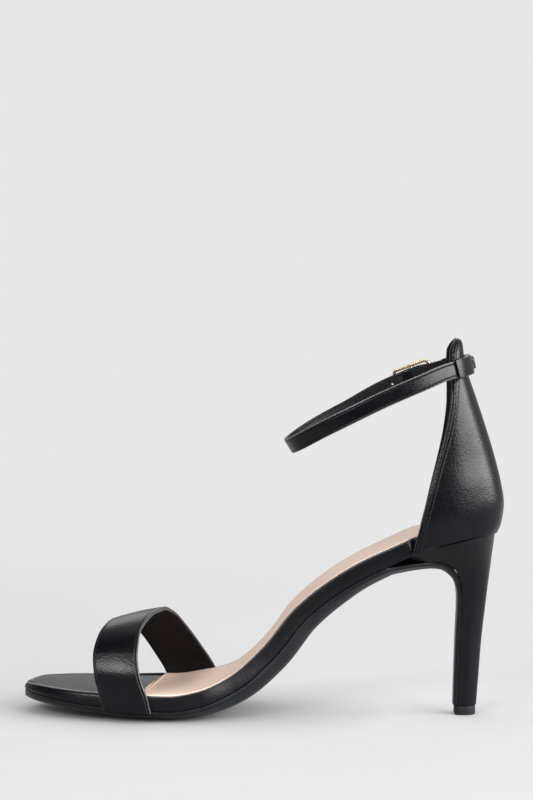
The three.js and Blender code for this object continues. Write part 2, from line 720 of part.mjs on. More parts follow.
// Height of the ankle strap's middle line along the shoe. at: share of the
// strap's length along the shoe, from its front. rise: share of its climb. lift:
// share of the lift of its outer side, where the buckle holds it higher.
const strapRows = [
  { at: 0.00, rise: 0.000, lift: 0.00 },
  { at: 0.16, rise: 0.210, lift: 0.00 },
  { at: 0.31, rise: 0.383, lift: 0.00 },
  { at: 0.50, rise: 0.590, lift: 0.68 },
  { at: 0.60, rise: 0.687, lift: 0.95 },
  { at: 0.72, rise: 0.798, lift: 1.00 },
  { at: 0.86, rise: 0.922, lift: -0.30 },
  { at: 1.00, rise: 1.000, lift: 0.00 },
];
const strapRise = through(strapRows, 'rise');
const strapLift = through(strapRows, 'lift');
const strapMiddle = (strapFront + strapBack) / 2;
const strapReach = (strapBack - strapFront) / 2;

// Height at a share of the strap's length. far: from 0 on the inner side to 1 in
// the middle of the outer side.
const strapHeight = (share, far) => strapLow + strapClimb * strapRise(share)
  + strapFarLift * far * strapLift(share);
const slopeStep = 0.04;

// Point of the ankle strap's loop. turn: angle round the ankle, 0 at the back
// and positive on the inner side. out: distance outwards from the loop. up:
// distance across the strap.
function strapPoint(turn, out, up) {
  const bulge = (value) => Math.sign(value) * Math.abs(value) ** strapSquare;
  const plan = (angle) => new THREE.Vector2(
    strapMiddle + strapReach * bulge(Math.cos(angle)),
    -strapHalfSpan * bulge(Math.sin(angle)));
  const here = plan(turn);
  const ahead = plan(turn + 0.02);
  const behind = plan(turn - 0.02);
  const outside = new THREE.Vector2(-(ahead.y - behind.y), ahead.x - behind.x).normalize();
  const share = (here.x - strapFront) / (strapBack - strapFront);
  const far = Math.max(0, -Math.sin(turn)) ** 2;
  const z = strapHeight(share, far);
  const above = Math.min(share + slopeStep, 1 - slopeStep / 2);
  const below = Math.max(share - slopeStep, slopeStep / 2);
  const rise = strapHeight(above, far) - strapHeight(below, far);
  const slope = rise / ((above - below) * (strapBack - strapFront));
  const acrossStrap = new THREE.Vector3(-slope, 0, 1).normalize();
  const outwards = new THREE.Vector3(outside.x, outside.y, slope * outside.x).normalize();
  return new THREE.Vector3(here.x, here.y, z)
    .addScaledVector(outwards, out)
    .addScaledVector(acrossStrap, up);
}

// Turn at which the outer side of the loop reaches a place along the shoe.
function outerTurn(x) {
  const share = THREE.MathUtils.clamp((x - strapMiddle) / strapReach, -1, 1);
  const flat = Math.sign(share) * Math.abs(share) ** (1 / strapSquare);
  return 2 * Math.PI - Math.acos(flat);
}

const bandBevel = 0.35;

// Band round the loop between two turns, with a thickness and a width.
function band(turns, outAt, thickness, widthAt) {
  const edge = Math.min(bandBevel, thickness / 3);
  const rings = turns.map((turn) => {
    const middle = outAt(turn);
    const [low, high] = [middle - thickness / 2, middle + thickness / 2];
    const side = widthAt(turn) / 2;
    return [
      [low, -side + edge], [low + edge, -side], [high - edge, -side], [high, -side + edge],
      [high, side - edge], [high - edge, side], [low + edge, side], [low, side - edge],
    ].map(([out, up]) => strapPoint(turn, out, up));
  });
  return loft(rings);
}

const turnList = (from, to, count) => shareList(count).map((t) => THREE.MathUtils.lerp(from, to, t));

const barTurn = outerTurn(buckleAt);
const layer = strapThickness + clearance;
const overBar = strapThickness + wire + 2 * clearance;
const barOut = (strapThickness + wire) / 2 + clearance;
const barSagitta = 1.0;

// The strap starts under the buckle's bar, goes round the back, the inner side
// and the front, rises over the bar and lies on its own start.
const fullTurn = 2 * Math.PI;
const frontBarTurn = outerTurn(buckleAt - buckleLength / 2);
const rearBarTurn = outerTurn(buckleAt + buckleLength / 2);
const strapStart = barTurn - fullTurn;
const tipTurn = outerTurn(strapBack - tipGap);
const tipTaper = 0.22;
const taperTurn = 0.16;
const overLoop = strapThickness + loopWall + 3 * clearance;

function strapOut(turn) {
  const climb = THREE.MathUtils.smoothstep(turn, frontBarTurn + 0.02, barTurn - 0.03);
  const settle = THREE.MathUtils.smoothstep(turn, rearBarTurn + 0.08, rearBarTurn + 0.2);
  const loopRise = THREE.MathUtils.smoothstep(turn, tipTurn - 0.42, tipTurn - 0.3);
  const hump = THREE.MathUtils.smoothstep(turn, barTurn + 0.04, rearBarTurn - 0.04);
  return overBar * climb + barSagitta * hump + (layer - overBar - barSagitta) * settle
    + (overLoop - layer) * loopRise;
}

function makeAnkleStrap() {
  const round = turnList(strapStart, frontBarTurn, 48);
  const crossing = turnList(frontBarTurn, rearBarTurn, 16).slice(1);
  const end = turnList(rearBarTurn, tipTurn, 18).slice(1);
  const taper = (turn) => tipTaper * THREE.MathUtils.smoothstep(turn, tipTurn - taperTurn, tipTurn);
  const widthAt = (turn) => strapWidth * (1 - taper(turn));
  const strap = band([...round, ...crossing, ...end], strapOut, strapThickness, widthAt);
  const holeTurn = THREE.MathUtils.lerp(frontBarTurn, barTurn, 0.62);
  const hole = turnList(holeTurn - 0.09, holeTurn + 0.05, 3);
  const slot = band(hole, () => overBar / 2, 3 * overBar, () => holeWidth);
  return fromSolid(solid(strap).subtract(solid(slot)));
}

// Piece of leather round the strap between two turns. Its walls end at "foot"
// on the inside, where it is open if the foot lies above the room's floor.
function sleeve({ from, to, steps, floor, foot, roof }) {
  const high = roof + clearance + loopWall;
  const outside = turnList(from, to, steps);
  const outerWidth = strapWidth + 2 * (loopRoom + loopLip);
  const outer = band(outside, () => (foot + high) / 2, high - foot, () => outerWidth);
  const within = turnList(from - 0.05, to + 0.05, steps + 2);
  const ceiling = roof + clearance;
  const room = band(within, () => (floor + ceiling) / 2, ceiling - floor, () => strapWidth + 2 * loopRoom);
  return fromSolid(solid(outer).subtract(solid(room)));
}

const skin = strapThickness / 2;

function makeBackLoop() {
  const [far, near] = [loopFarReach / strapHalfSpan, loopNearReach / strapHalfSpan];
  return sleeve({ from: -far, to: near, steps: 12, floor: -3 * skin, foot: -skin, roof: skin });
}

function makeStrapKeeper() {
  const at = outerTurn(keeperAt);
  const half = keeperWidth / 2 / strapReach;
  return sleeve({
    from: at - half,
    to: at + half,
    steps: 3,
    floor: -skin - clearance,
    foot: -skin - clearance - loopWall,
    roof: layer + skin + 2 * clearance,
  });
}

// Rod of a round wire along the loop's own coordinates: turn, out and up.
function rod(stops, diameter) {
  const points = stops.map(([turn, out, up]) => strapPoint(turn, out, up));
  const path = new THREE.CatmullRomCurve3(points, false, 'centripetal');
  const disc = new THREE.Shape().absarc(0, 0, diameter / 2, 0, fullTurn);
  return new THREE.ExtrudeGeometry(disc, {
    steps: Math.max(4, stops.length * 2),
    curveSegments: 6,
    extrudePath: path,
    bevelEnabled: false,
  });
}

function roundedBox(path, left, right, low, high, corner) {
  path.moveTo(left + corner, low);
  path.lineTo(right - corner, low);
  path.absarc(right - corner, low + corner, corner, -Math.PI / 2, 0);
  path.lineTo(right, high - corner);
  path.absarc(right - corner, high - corner, corner, 0, Math.PI / 2);
  path.lineTo(left + corner, high);
  path.absarc(left + corner, high - corner, corner, Math.PI / 2, Math.PI);
  path.lineTo(left, low + corner);
  path.absarc(left + corner, low + corner, corner, Math.PI, 1.5 * Math.PI);
  return path;
}

// Flat frame with a bar across its middle, on the loop's outside at the bar.
function makeBuckleFrame() {
  const bevel = wire * 0.28;
  const reach = buckleLength / 2 + wire / 2;
  const side = strapWidth / 2 + clearance + wire;
  const [outerReach, outerSide] = [reach - bevel, side - bevel];
  const shape = roundedBox(new THREE.Shape(), -outerReach, outerReach, -outerSide, outerSide, buckleCorner);
  const windowReach = reach - wire - bevel;
  const barHalf = wire * 0.42 + bevel;
  const windowSide = side - wire + bevel;
  const small = buckleCorner - wire * 0.6;
  [[-windowReach - 2 * bevel, -barHalf], [barHalf, windowReach + 2 * bevel]].forEach(([left, right]) => {
    shape.holes.push(roundedBox(new THREE.Path(), left, right, -windowSide, windowSide, small));
  });
  const geometry = new THREE.ExtrudeGeometry(shape, {
    depth: wire - 2 * bevel,
    bevelThickness: bevel,
    bevelSize: bevel,
    bevelSegments: 1,
    curveSegments: 4,
  });
  geometry.translate(0, 0, bevel - wire / 2);
  const middle = strapPoint(barTurn, barOut, 0);
  const outwards = strapPoint(barTurn, barOut + 1, 0).sub(middle);
  const wide = strapPoint(barTurn, barOut, 1).sub(middle);
  const along = new THREE.Vector3().crossVectors(wide, outwards);
  geometry.applyMatrix4(new THREE.Matrix4().makeBasis(along, wide, outwards).setPosition(middle));
  return fromSolid(solid(geometry));
}

function makeProng() {
  const rise = (wire + prongWire) / 2 + clearance;
  const nearBar = THREE.MathUtils.lerp(barTurn, frontBarTurn, 0.2);
  const middle = THREE.MathUtils.lerp(barTurn, frontBarTurn, 0.55);
  const tip = frontBarTurn - 0.02;
  return fromSolid(solid(rod([
    [nearBar, barOut + 0.1, 0],
    [middle, barOut + rise * 0.9, 0],
    [tip, barOut + rise + barSagitta * 1.5, 0],
  ], prongWire)));
}

addPart('outsole', makeOutsole(), leather({ color: 0x1c1b1e, roughness: 0.5 }));
addPart('footbed', makeFootbed(), leather());
addPart('sock', makeSock(), leather({ color: 0xeccfb8, roughness: 0.7 }));
addPart('heel', makeHeel(), leather({ roughness: 0.38 }));
addPart('top_piece', makeTopPiece(), leather({ color: 0x141316, roughness: 0.55 }));
addPart('toe_strap', makeToeStrap(), leather());
addPart('counter', makeCounter(), leather());
addPart('ankle_strap', makeAnkleStrap(), leather());
addPart('back_loop', makeBackLoop(), leather());
addPart('strap_keeper', makeStrapKeeper(), leather());
addPart('buckle_frame', makeBuckleFrame(), gold());
addPart('buckle_prong', makeProng(), gold());

// The origin is the middle of the box's base.
const box = new THREE.Box3().setFromObject(group);
const centre = box.getCenter(new THREE.Vector3());
group.position.set(-centre.x, -centre.y, -box.min.z);

export default group;
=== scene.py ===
"""Dressed model of a right high-heeled sandal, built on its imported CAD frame."""

import logging
import math
from dataclasses import dataclass
from enum import Enum
from typing import Callable, Sequence

import bmesh
import bpy
import numpy as np
from mathutils import Matrix, Vector


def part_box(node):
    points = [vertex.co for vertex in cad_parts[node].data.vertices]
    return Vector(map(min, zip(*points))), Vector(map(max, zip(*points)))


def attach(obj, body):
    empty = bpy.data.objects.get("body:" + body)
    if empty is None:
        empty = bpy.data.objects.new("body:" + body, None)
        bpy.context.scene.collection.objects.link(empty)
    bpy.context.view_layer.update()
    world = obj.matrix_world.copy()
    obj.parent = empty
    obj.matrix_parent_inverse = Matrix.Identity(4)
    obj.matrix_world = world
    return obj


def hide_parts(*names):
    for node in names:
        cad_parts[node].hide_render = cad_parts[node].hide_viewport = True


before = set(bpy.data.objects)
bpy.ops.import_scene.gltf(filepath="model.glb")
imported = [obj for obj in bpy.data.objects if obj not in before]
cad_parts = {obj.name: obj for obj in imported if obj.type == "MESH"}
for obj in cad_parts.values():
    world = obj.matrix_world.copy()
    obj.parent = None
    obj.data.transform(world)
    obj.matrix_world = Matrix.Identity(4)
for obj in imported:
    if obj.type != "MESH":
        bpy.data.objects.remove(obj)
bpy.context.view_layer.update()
LOG = logging.getLogger("sandal")
MM = 0.001
# Pale edge colour for the board's band and the ankle strap: a painted highlight along their rounded
# edges, on real edge paint.
PALE_EDGE_AND_SHEEN = (0.10, 0.098, 0.10)
WIDE = 400.0  # Width in millimetres of a pattern whose far edge lies outside the piece.
LINING = 200.0  # Added to the pattern's distance on a lining side, in millimetres.
LINING_FROM = 60.0  # Pattern distances above this belong to a lining side.
TOE_LINING = 100.0  # As LINING, on the wider toe strap, whose lining has no painted edges.

Point = np.ndarray
Row = dict[str, float]
Colour = tuple[float, float, float]
Curve = Callable[[float], float]
Pattern = list[list[tuple[float, float]]]
Piece = bpy.types.Object
Material = bpy.types.Material
Socket = bpy.types.NodeSocket


def clamp(value: float, low: float = 0.0, high: float = 1.0) -> float:
    """Value held between two limits."""
    return min(max(value, low), high)


def smooth(value: float, low: float, high: float) -> float:
    """Smooth step of a value between two limits."""
    t = clamp((value - low) / (high - low))
    return t * t * (3 - 2 * t)


def mix(low: float, high: float, share: float) -> float:
    """Value at a share of the way from low to high."""
    return low + (high - low) * share


def shares(count: int) -> list[float]:
    """Evenly spaced shares from 0 to 1."""
    return [i / (count - 1) for i in range(count)]


def through(rows: Sequence[Row], key: str, along: str = "at") -> Curve:
    """Smooth curve through one column of a table, without overshoot.

    Args:
        rows: the table, in order of the column that it runs along.
        key: name of the column to follow.
        along: name of the column that the table runs along.

    Returns:
        Function from a place along the table to the column's value there.
    """
    x = [row[along] for row in rows]
    y = [row[key] for row in rows]
    rate = [(y[i + 1] - y[i]) / (x[i + 1] - x[i]) for i in range(len(x) - 1)]
    slope = [rate[0]]
    for before, after in zip(rate, rate[1:]):
        slope.append(0.0 if before * after <= 0 else 2 * before * after / (before + after))
    slope.append(rate[-1])

    def value(at: float) -> float:
        """Value of the column at a place."""
        t = clamp(at, x[0], x[-1])
        i = 0
        while i < len(x) - 2 and t > x[i + 1]:
            i += 1
        h = x[i + 1] - x[i]
        u = (t - x[i]) / h
        bend = h * u * (1 - u) * ((1 - u) * slope[i] - u * slope[i + 1])
        return y[i] + (y[i + 1] - y[i]) * u * u * (3 - 2 * u) + bend

    return value


def length(vector: Point) -> float:
    """Length of a vector."""
    return float(np.linalg.norm(vector))


def unit(vector: Point) -> Point:
    """Vector of length 1 in the same direction."""
    return vector / length(vector)


def distances(points: Sequence[Point]) -> list[float]:
    """Distance travelled along a path at each of its points."""
    return [0.0, *np.cumsum([length(b - a) for a, b in zip(points, points[1:])])]


def rounded(value: float, power: float) -> float:
    """Power of a number that keeps its sign."""
    return math.copysign(abs(value) ** power, value)


def corner(*degrees: float) -> list[tuple[float, float, float]]:
    """Angles in degrees with their sines and cosines."""
    return [(a, math.sin(math.radians(a)), math.cos(math.radians(a))) for a in degrees]


def link_object(name: str, data: bpy.types.ID) -> Piece:
    """New object in the scene for a mesh, a curve, a light or a camera."""
    piece = bpy.data.objects.new(name, data)
    bpy.context.collection.objects.link(piece)
    return piece


def table(columns: str, *rows: Sequence[float]) -> list[Row]:
    """Rows of a table as dictionaries, from its column names and its numbers."""
    names = columns.split()
    return [dict(zip(names, row)) for row in rows]


class Frame:
    """Turns the maker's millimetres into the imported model's metres."""

    def __init__(self, tip_front: float) -> None:
        """Finds the shift from the heel tip, which lies on the shoe's middle line."""
        low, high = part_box("top_piece")
        self.shift = np.array([low.x - tip_front * MM, (low.y + high.y) / 2, low.z])

    def metres(self, point: Point) -> Vector:
        """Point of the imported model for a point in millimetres."""
        return Vector(np.asarray(point, dtype=float) * MM + self.shift)


class Maker:
    """Makes mesh objects and hangs them on the frame."""

    def __init__(self, place: Frame) -> None:
        """Keeps the frame that places each piece."""
        self.place = place

    def grid(self, name: str, rings: list[list[Point]], uv: Pattern | None = None,
             caps: bool = True) -> Piece:
        """Closed smooth mesh through rings of equally many points.

        Args:
            name: name of the new object.
            rings: rings of points in millimetres.
            uv: a pair of millimetre distances for each point, for the pattern.
            caps: whether both ends get a face.

        Returns:
            The new object, with its place in its mesh.
        """
        mesh = bpy.data.meshes.new(name)
        shape = bmesh.new()
        verts = [[shape.verts.new(self.place.metres(p)) for p in ring] for ring in rings]
        layer = shape.loops.layers.uv.new("Pattern")
        count = len(rings[0])
        faces = [[(r, i), (r, (i + 1) % count), (r + 1, (i + 1) % count), (r + 1, i)]
                 for r in range(len(rings) - 1) for i in range(count)]
        if caps:
            faces += [[(r, i) for i in range(count)] for r in (0, len(rings) - 1)]
        for corners in faces:
            face = shape.faces.new([verts[r][i] for r, i in corners])
            for loop, (r, i) in zip(face.loops, corners if uv else ()):
                loop[layer].uv = (uv[r][i][0] * MM, uv[r][i][1] * MM)
        bmesh.ops.remove_doubles(shape, verts=shape.verts, dist=1e-6)
        bmesh.ops.recalc_face_normals(shape, faces=shape.faces)
        shape.to_mesh(mesh)
        shape.free()
        piece = link_object(name, mesh)
        return piece

    def shade(self, piece: Piece, angle: float) -> None:
        """Smooths the shading of a piece, except over edges sharper than an angle."""
        mesh = piece.data
        mesh.polygons.foreach_set("use_smooth", [True] * len(mesh.polygons))
        mesh.set_sharp_from_angle(angle=math.radians(angle))
        mesh.update()

    def finish(self, piece: Piece, material: Material, slot: str, *nodes: str,
               angle: float | None = None) -> Piece:
        """Shades and dresses a piece, makes it ride on the root and stand for CAD nodes."""
        if angle is not None:
            self.shade(piece, angle)
        piece.data.materials.clear()
        piece.data.materials.append(material)
        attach(piece, "root")
        if nodes:
            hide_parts(*nodes)
        LOG.info("made %s with %d faces", piece.name, len(piece.data.polygons))
        return piece

    def polished(self, node: str, name: str, bevel: float = 0.25, angle: float = 40.0) -> Piece:
        """Copy of a CAD node with merged corners and small rounded edges.

        Args:
            node: the CAD node to copy.
            name: name of the new object.
            bevel: width of the rounding in millimetres.
            angle: edges sharper than this are rounded, in degrees.

        Returns:
            The new object.
        """
        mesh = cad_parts[node].data.copy()
        mesh.name = name
        mesh.transform(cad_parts[node].matrix_world)
        piece = link_object(name, mesh)
        shape = bmesh.new()
        shape.from_mesh(mesh)
        bmesh.ops.remove_doubles(shape, verts=shape.verts, dist=2e-6)
        flat = math.radians(1.5)
        bmesh.ops.dissolve_limit(shape, angle_limit=flat, verts=shape.verts, edges=shape.edges)
        shape.to_mesh(mesh)
        shape.free()
        rounding = piece.modifiers.new("Rounding", "BEVEL")
        rounding.width = bevel * MM
        rounding.segments = 3
        rounding.limit_method = "ANGLE"
        rounding.angle_limit = math.radians(angle)
        rounding.use_clamp_overlap = True
        self.apply(piece)
        self.shade(piece, angle)
        return piece

    def cut(self, piece: Piece, cutters: Sequence[Piece]) -> None:
        """Cuts a piece with others, which are then removed."""
        for cutter in cutters:
            modifier = piece.modifiers.new(cutter.name, "BOOLEAN")
            modifier.operation = "DIFFERENCE"
            modifier.solver = "EXACT"
            modifier.object = cutter
        self.apply(piece)
        for cutter in cutters:
            bpy.data.objects.remove(cutter)

    def apply(self, piece: Piece) -> None:
        """Turns a piece with modifiers into a plain mesh."""
        graph = bpy.context.evaluated_depsgraph_get()
        mesh = bpy.data.meshes.new_from_object(piece.evaluated_get(graph))
        piece.modifiers.clear()
        old = piece.data
        piece.data = mesh
        bpy.data.meshes.remove(old)


@dataclass
class Shoe:
    """Overall sizes of the shoe in millimetres."""

    length: float = 226.0
    heel_height: float = 88.6
    counter_height: float = 180.0
    ball_width: float = 76.0
    waist_width: float = 43.5
    seat_width: float = 48.5
    clearance: float = 0.3
    board: float = 7.2
    board_round: float = 1.0
    outsole_edge: float = 2.0
    crown: float = 3.3
    outsole_inset: float = 0.7
    toe_spring: float = 2.0
    dish: float = 2.0
    outer_drop: float = 4.0
    bed_recess: float = 0.9
    bed_rim: float = 0.9
    toe_cap: float = 34.0
    tip_drop: float = 1.5
    tip_drop_length: float = 10.0
    seat_cap: float = 25.0
    end_power: float = 2.15
    seat_back: float = 108.4
    counter_front: float = 69.6
    far_front: float = 74.4
    counter_wall: float = 1.8
    leave_board: float = 54.0

    def __post_init__(self) -> None:
        """Works out the curves of the sole."""
        ball, waist, seat = self.ball_width, self.waist_width, self.seat_width
        rows = table(
            "at spring rise board crown dish lean medial lateral of",
            (0.000, 1.00, 0.000, 0.56, 0.58, 0.2, 0.10, 0.370, 0.370, ball),
            (0.070, 0.78, 0.000, 0.70, 0.65, 0.4, 0.36, 0.385, 0.400, ball),
            (0.150, 0.36, 0.000, 0.87, 0.87, 0.7, 0.40, 0.420, 0.455, ball),
            (0.240, 0.00, 0.000, 1.00, 1.00, 1.0, 0.30, 0.467, 0.505, ball),
            (0.310, 0.00, 0.000, 1.00, 1.00, 1.0, 0.27, 0.487, 0.515, ball),
            (0.368, 0.00, 0.025, 1.00, 1.25, 1.0, 0.30, 0.471, 0.500, ball),
            (0.434, 0.00, 0.100, 1.00, 1.62, 0.9, 0.76, 0.401, 0.447, ball),
            (0.500, 0.00, 0.252, 1.00, 1.70, 0.7, 0.52, 0.575, 0.640, waist),
            (0.566, 0.00, 0.470, 1.00, 1.52, 0.5, 0.20, 0.494, 0.545, waist),
            (0.632, 0.00, 0.620, 1.02, 1.30, 0.3, 0.05, 0.460, 0.505, waist),
            (0.697, 0.00, 0.733, 1.05, 1.00, 0.1, 0.00, 0.467, 0.505, waist),
            (0.763, 0.00, 0.823, 1.07, 0.90, 0.0, 0.00, 0.453, 0.470, seat),
            (0.829, 0.00, 0.903, 1.07, 0.80, 0.0, 0.00, 0.487, 0.487, seat),
            (0.895, 0.00, 0.953, 1.07, 0.60, 0.0, 0.00, 0.500, 0.500, seat),
            (0.960, 0.00, 0.990, 1.07, 0.60, 0.0, 0.00, 0.500, 0.500, seat),
            (1.000, 0.00, 1.000, 1.07, 0.60, 0.0, 0.00, 0.500, 0.500, seat),
        )
        for row in rows:
            row["medial"] *= row["of"]
            row["lateral"] *= row["of"]
        names = ("spring", "rise", "board", "crown", "dish", "lean", "medial", "lateral")
        self.curve = {name: through(rows, name) for name in names}
        self.toe_x = -self.length / 2 - 1
        self.seat_end = self.share(self.seat_back)
        self.leave = self.share(self.leave_board)
        self.ball_top = self.board + self.clearance + self.outsole_edge + self.crown
        self.seat_top = self.heel_height + self.board + self.clearance

    def share(self, x: float) -> float:
        """Share of the length for a place along the shoe."""
        return (x - self.toe_x) / self.length

    def x(self, at: float) -> float:
        """Place along the shoe for a share of its length."""
        return self.toe_x + at * self.length

    def edge_height(self, at: float) -> float:
        """Height of the bed's top edge."""
        rise = (self.seat_top - self.ball_top) * self.curve["rise"](at)
        return self.ball_top + self.toe_spring * self.curve["spring"](at) + rise

    def stand(self, at: float) -> tuple[Point, Point]:
        """Point on the bed's top edge line and the upward normal there."""
        step = 0.004
        run = 2 * step * self.length
        climb = self.edge_height(at + step) - self.edge_height(at - step)
        size = math.hypot(run, climb)
        origin = np.array([self.x(at), 0.0, self.edge_height(at)])
        return origin, np.array([-climb / size, 0.0, run / size])

    def end_round(self, at: float, end: float) -> float:
        """Share of the full width near the toe and the back of the seat."""
        value = 1.0
        for share, cap in ((at, self.toe_cap), (end - at, self.seat_cap)):
            t = clamp(1 - share * self.length / cap)
            value = min(value, math.sqrt(max(1 - t ** self.end_power, 0.0)))
        return value

    def half(self, at: float, side: float, inset: float) -> float:
        """Half width of the sole on one side, less an inset."""
        width = self.curve["medial" if side < 0 else "lateral"](at)
        full = width * self.end_round(at, self.seat_end)
        return max(full - inset, full * 0.45)

    def counter_inset(self, at: float, across: float) -> float:
        """How far the board steps in under the counter."""
        front = self.far_front if across > 0 else self.counter_front
        return smooth(self.x(at), front - 3, front - 0.5) * (self.counter_wall + self.clearance)

    def sag(self, at: float, across: float) -> float:
        """Dish of the bed and drop of its outer side."""
        lean = self.outer_drop * self.curve["lean"](at) * (across + 1) / 2
        return self.dish * self.curve["dish"](at) * (across * across - 1) - lean

    def point(self, at: float, across: float, up: float, inset: float = 0.0) -> Point:
        """Point of the sole, up along the normal from the bed's top edge."""
        origin, normal = self.stand(at)
        y = across * self.half(at, across, inset + self.counter_inset(at, across))
        share = max(0.0, 1 - at * self.length / self.tip_drop_length)
        fall = self.tip_drop * share ** 2 * (1 + up / self.depth(at))
        point = origin + normal * (up + self.sag(at, across) - fall)
        point[0] += inset * share ** 1.5
        point[1] = y
        return point

    def depth(self, at: float) -> float:
        """Depth of the board and its cover."""
        return self.board * self.curve["board"](at)


def math_method(operation: str) -> "Callable[..., Channel]":
    """Method that puts a channel and any other values through a Math node."""
    return lambda self, *others: self._math(operation, self, *others)


class Channel:
    """A number's socket that takes part in arithmetic."""

    def __init__(self, graph: "Graph", socket: Socket) -> None:
        """Keeps the socket and the graph that it is in."""
        self.graph = graph
        self.socket = socket

    def _math(self, operation: str, *values: "Channel | float") -> "Channel":
        """Result of a Math node on the values."""
        return self.graph.value("ShaderNodeMath", {"operation": operation}, *values)

    __add__ = __radd__ = math_method("ADD")
    __mul__ = __rmul__ = math_method("MULTIPLY")
    __sub__ = math_method("SUBTRACT")
    __abs__ = math_method("ABSOLUTE")
    least = math_method("MINIMUM")
    power = math_method("POWER")

    def __rsub__(self, other: float) -> "Channel":
        """Difference of a number and this value."""
        return self._math("SUBTRACT", other, self)

    def step(self, low: float, high: float, first: float = 0.0, last: float = 1.0) -> "Channel":
        """Smooth step of the value, from first at low to last at high."""
        settings = {"interpolation_type": "SMOOTHSTEP"}
        return self.graph.value("ShaderNodeMapRange", settings, self, low, high, first, last)


class Graph:
    """Node tree that is written as calls."""

    def __init__(self, tree: bpy.types.NodeTree) -> None:
        """Empties the tree."""
        self.tree = tree
        tree.nodes.clear()

    def node(self, kind: str, settings: dict[str, object],
             *values: object, **named: object) -> bpy.types.Node:
        """Adds a node with its settings and the values or links of its sockets.

        Args:
            kind: the node's type.
            settings: attributes that are set first.
            *values: sockets by order.
            **named: sockets by name, with _ for a space.

        Returns:
            The new node.
        """
        node = self.tree.nodes.new(kind)
        for key, value in settings.items():
            setattr(node, key, value)
        pairs = [(node.inputs[i], value) for i, value in enumerate(values)]
        pairs += [(node.inputs[key.replace("_", " ")], value) for key, value in named.items()]
        for socket, value in pairs:
            self.fill(socket, value)
        return node

    def fill(self, socket: Socket, value: object) -> None:
        """Links or sets a socket."""
        source = value.socket if isinstance(value, Channel) else value
        if isinstance(source, Socket):
            self.tree.links.new(source, socket)
        else:
            socket.default_value = source

    def value(self, kind: str, settings: dict[str, object], *values: object) -> Channel:
        """First output of a new node as a number."""
        return Channel(self, self.node(kind, settings, *values).outputs[0])

    def axes(self, vector: Socket) -> list[Channel]:
        """The three numbers of a vector."""
        node = self.node("ShaderNodeSeparateXYZ", {}, vector)
        return [Channel(self, output) for output in node.outputs]


class Surface(Graph):
    """Node tree of one material, with its coordinates and its last shader."""

    def __init__(self, name: str) -> None:
        """Starts a new material with an empty tree."""
        self.material = bpy.data.materials.new(name)
        self.material.use_nodes = True
        super().__init__(self.material.node_tree)
        self.object = self.node("ShaderNodeTexCoord", {}).outputs["Object"]
        self.pattern = self.node("ShaderNodeUVMap", {"uv_map": "Pattern"}).outputs["UV"]

    def noise(self, size: float, detail: float = 3.0, rough: float = 0.55) -> Channel:
        """Noise from 0 to 1 whose lumps are about a size in millimetres."""
        node = self.node("ShaderNodeTexNoise", {}, Vector=self.object, Scale=1 / (size * MM),
                         Detail=detail, Roughness=rough)
        return Channel(self, node.outputs["Fac"])

    def cells(self, size: float) -> Channel:
        """Distance to the nearest of scattered points, in shares of their spacing."""
        node = self.node("ShaderNodeTexVoronoi", {}, Vector=self.object, Scale=1 / (size * MM))
        return Channel(self, node.outputs["Distance"])

    def blend(self, share: Channel | float, low: object, high: object) -> Socket:
        """Colour between two colours."""
        node = self.node("ShaderNodeMix", {"data_type": "RGBA"})
        low, high = ((*end, 1.0) if isinstance(end, tuple) else end for end in (low, high))
        for name, value in (("Factor_Float", share), ("A_Color", low), ("B_Color", high)):
            self.fill(next(s for s in node.inputs if s.identifier == name), value)
        return next(s for s in node.outputs if s.identifier == "Result_Color")

    def relief(self, height: Channel) -> Socket:
        """Normal for a height in metres."""
        node = self.node("ShaderNodeBump", {}, Height=height, Distance=1.0, Strength=1.0)
        return node.outputs["Normal"]

    def shader(self, **named: object) -> Material:
        """Ends the tree in a Principled shader."""
        shader = self.node("ShaderNodeBsdfPrincipled", {}, **named)
        self.node("ShaderNodeOutputMaterial", {}, shader.outputs[0])
        return self.material


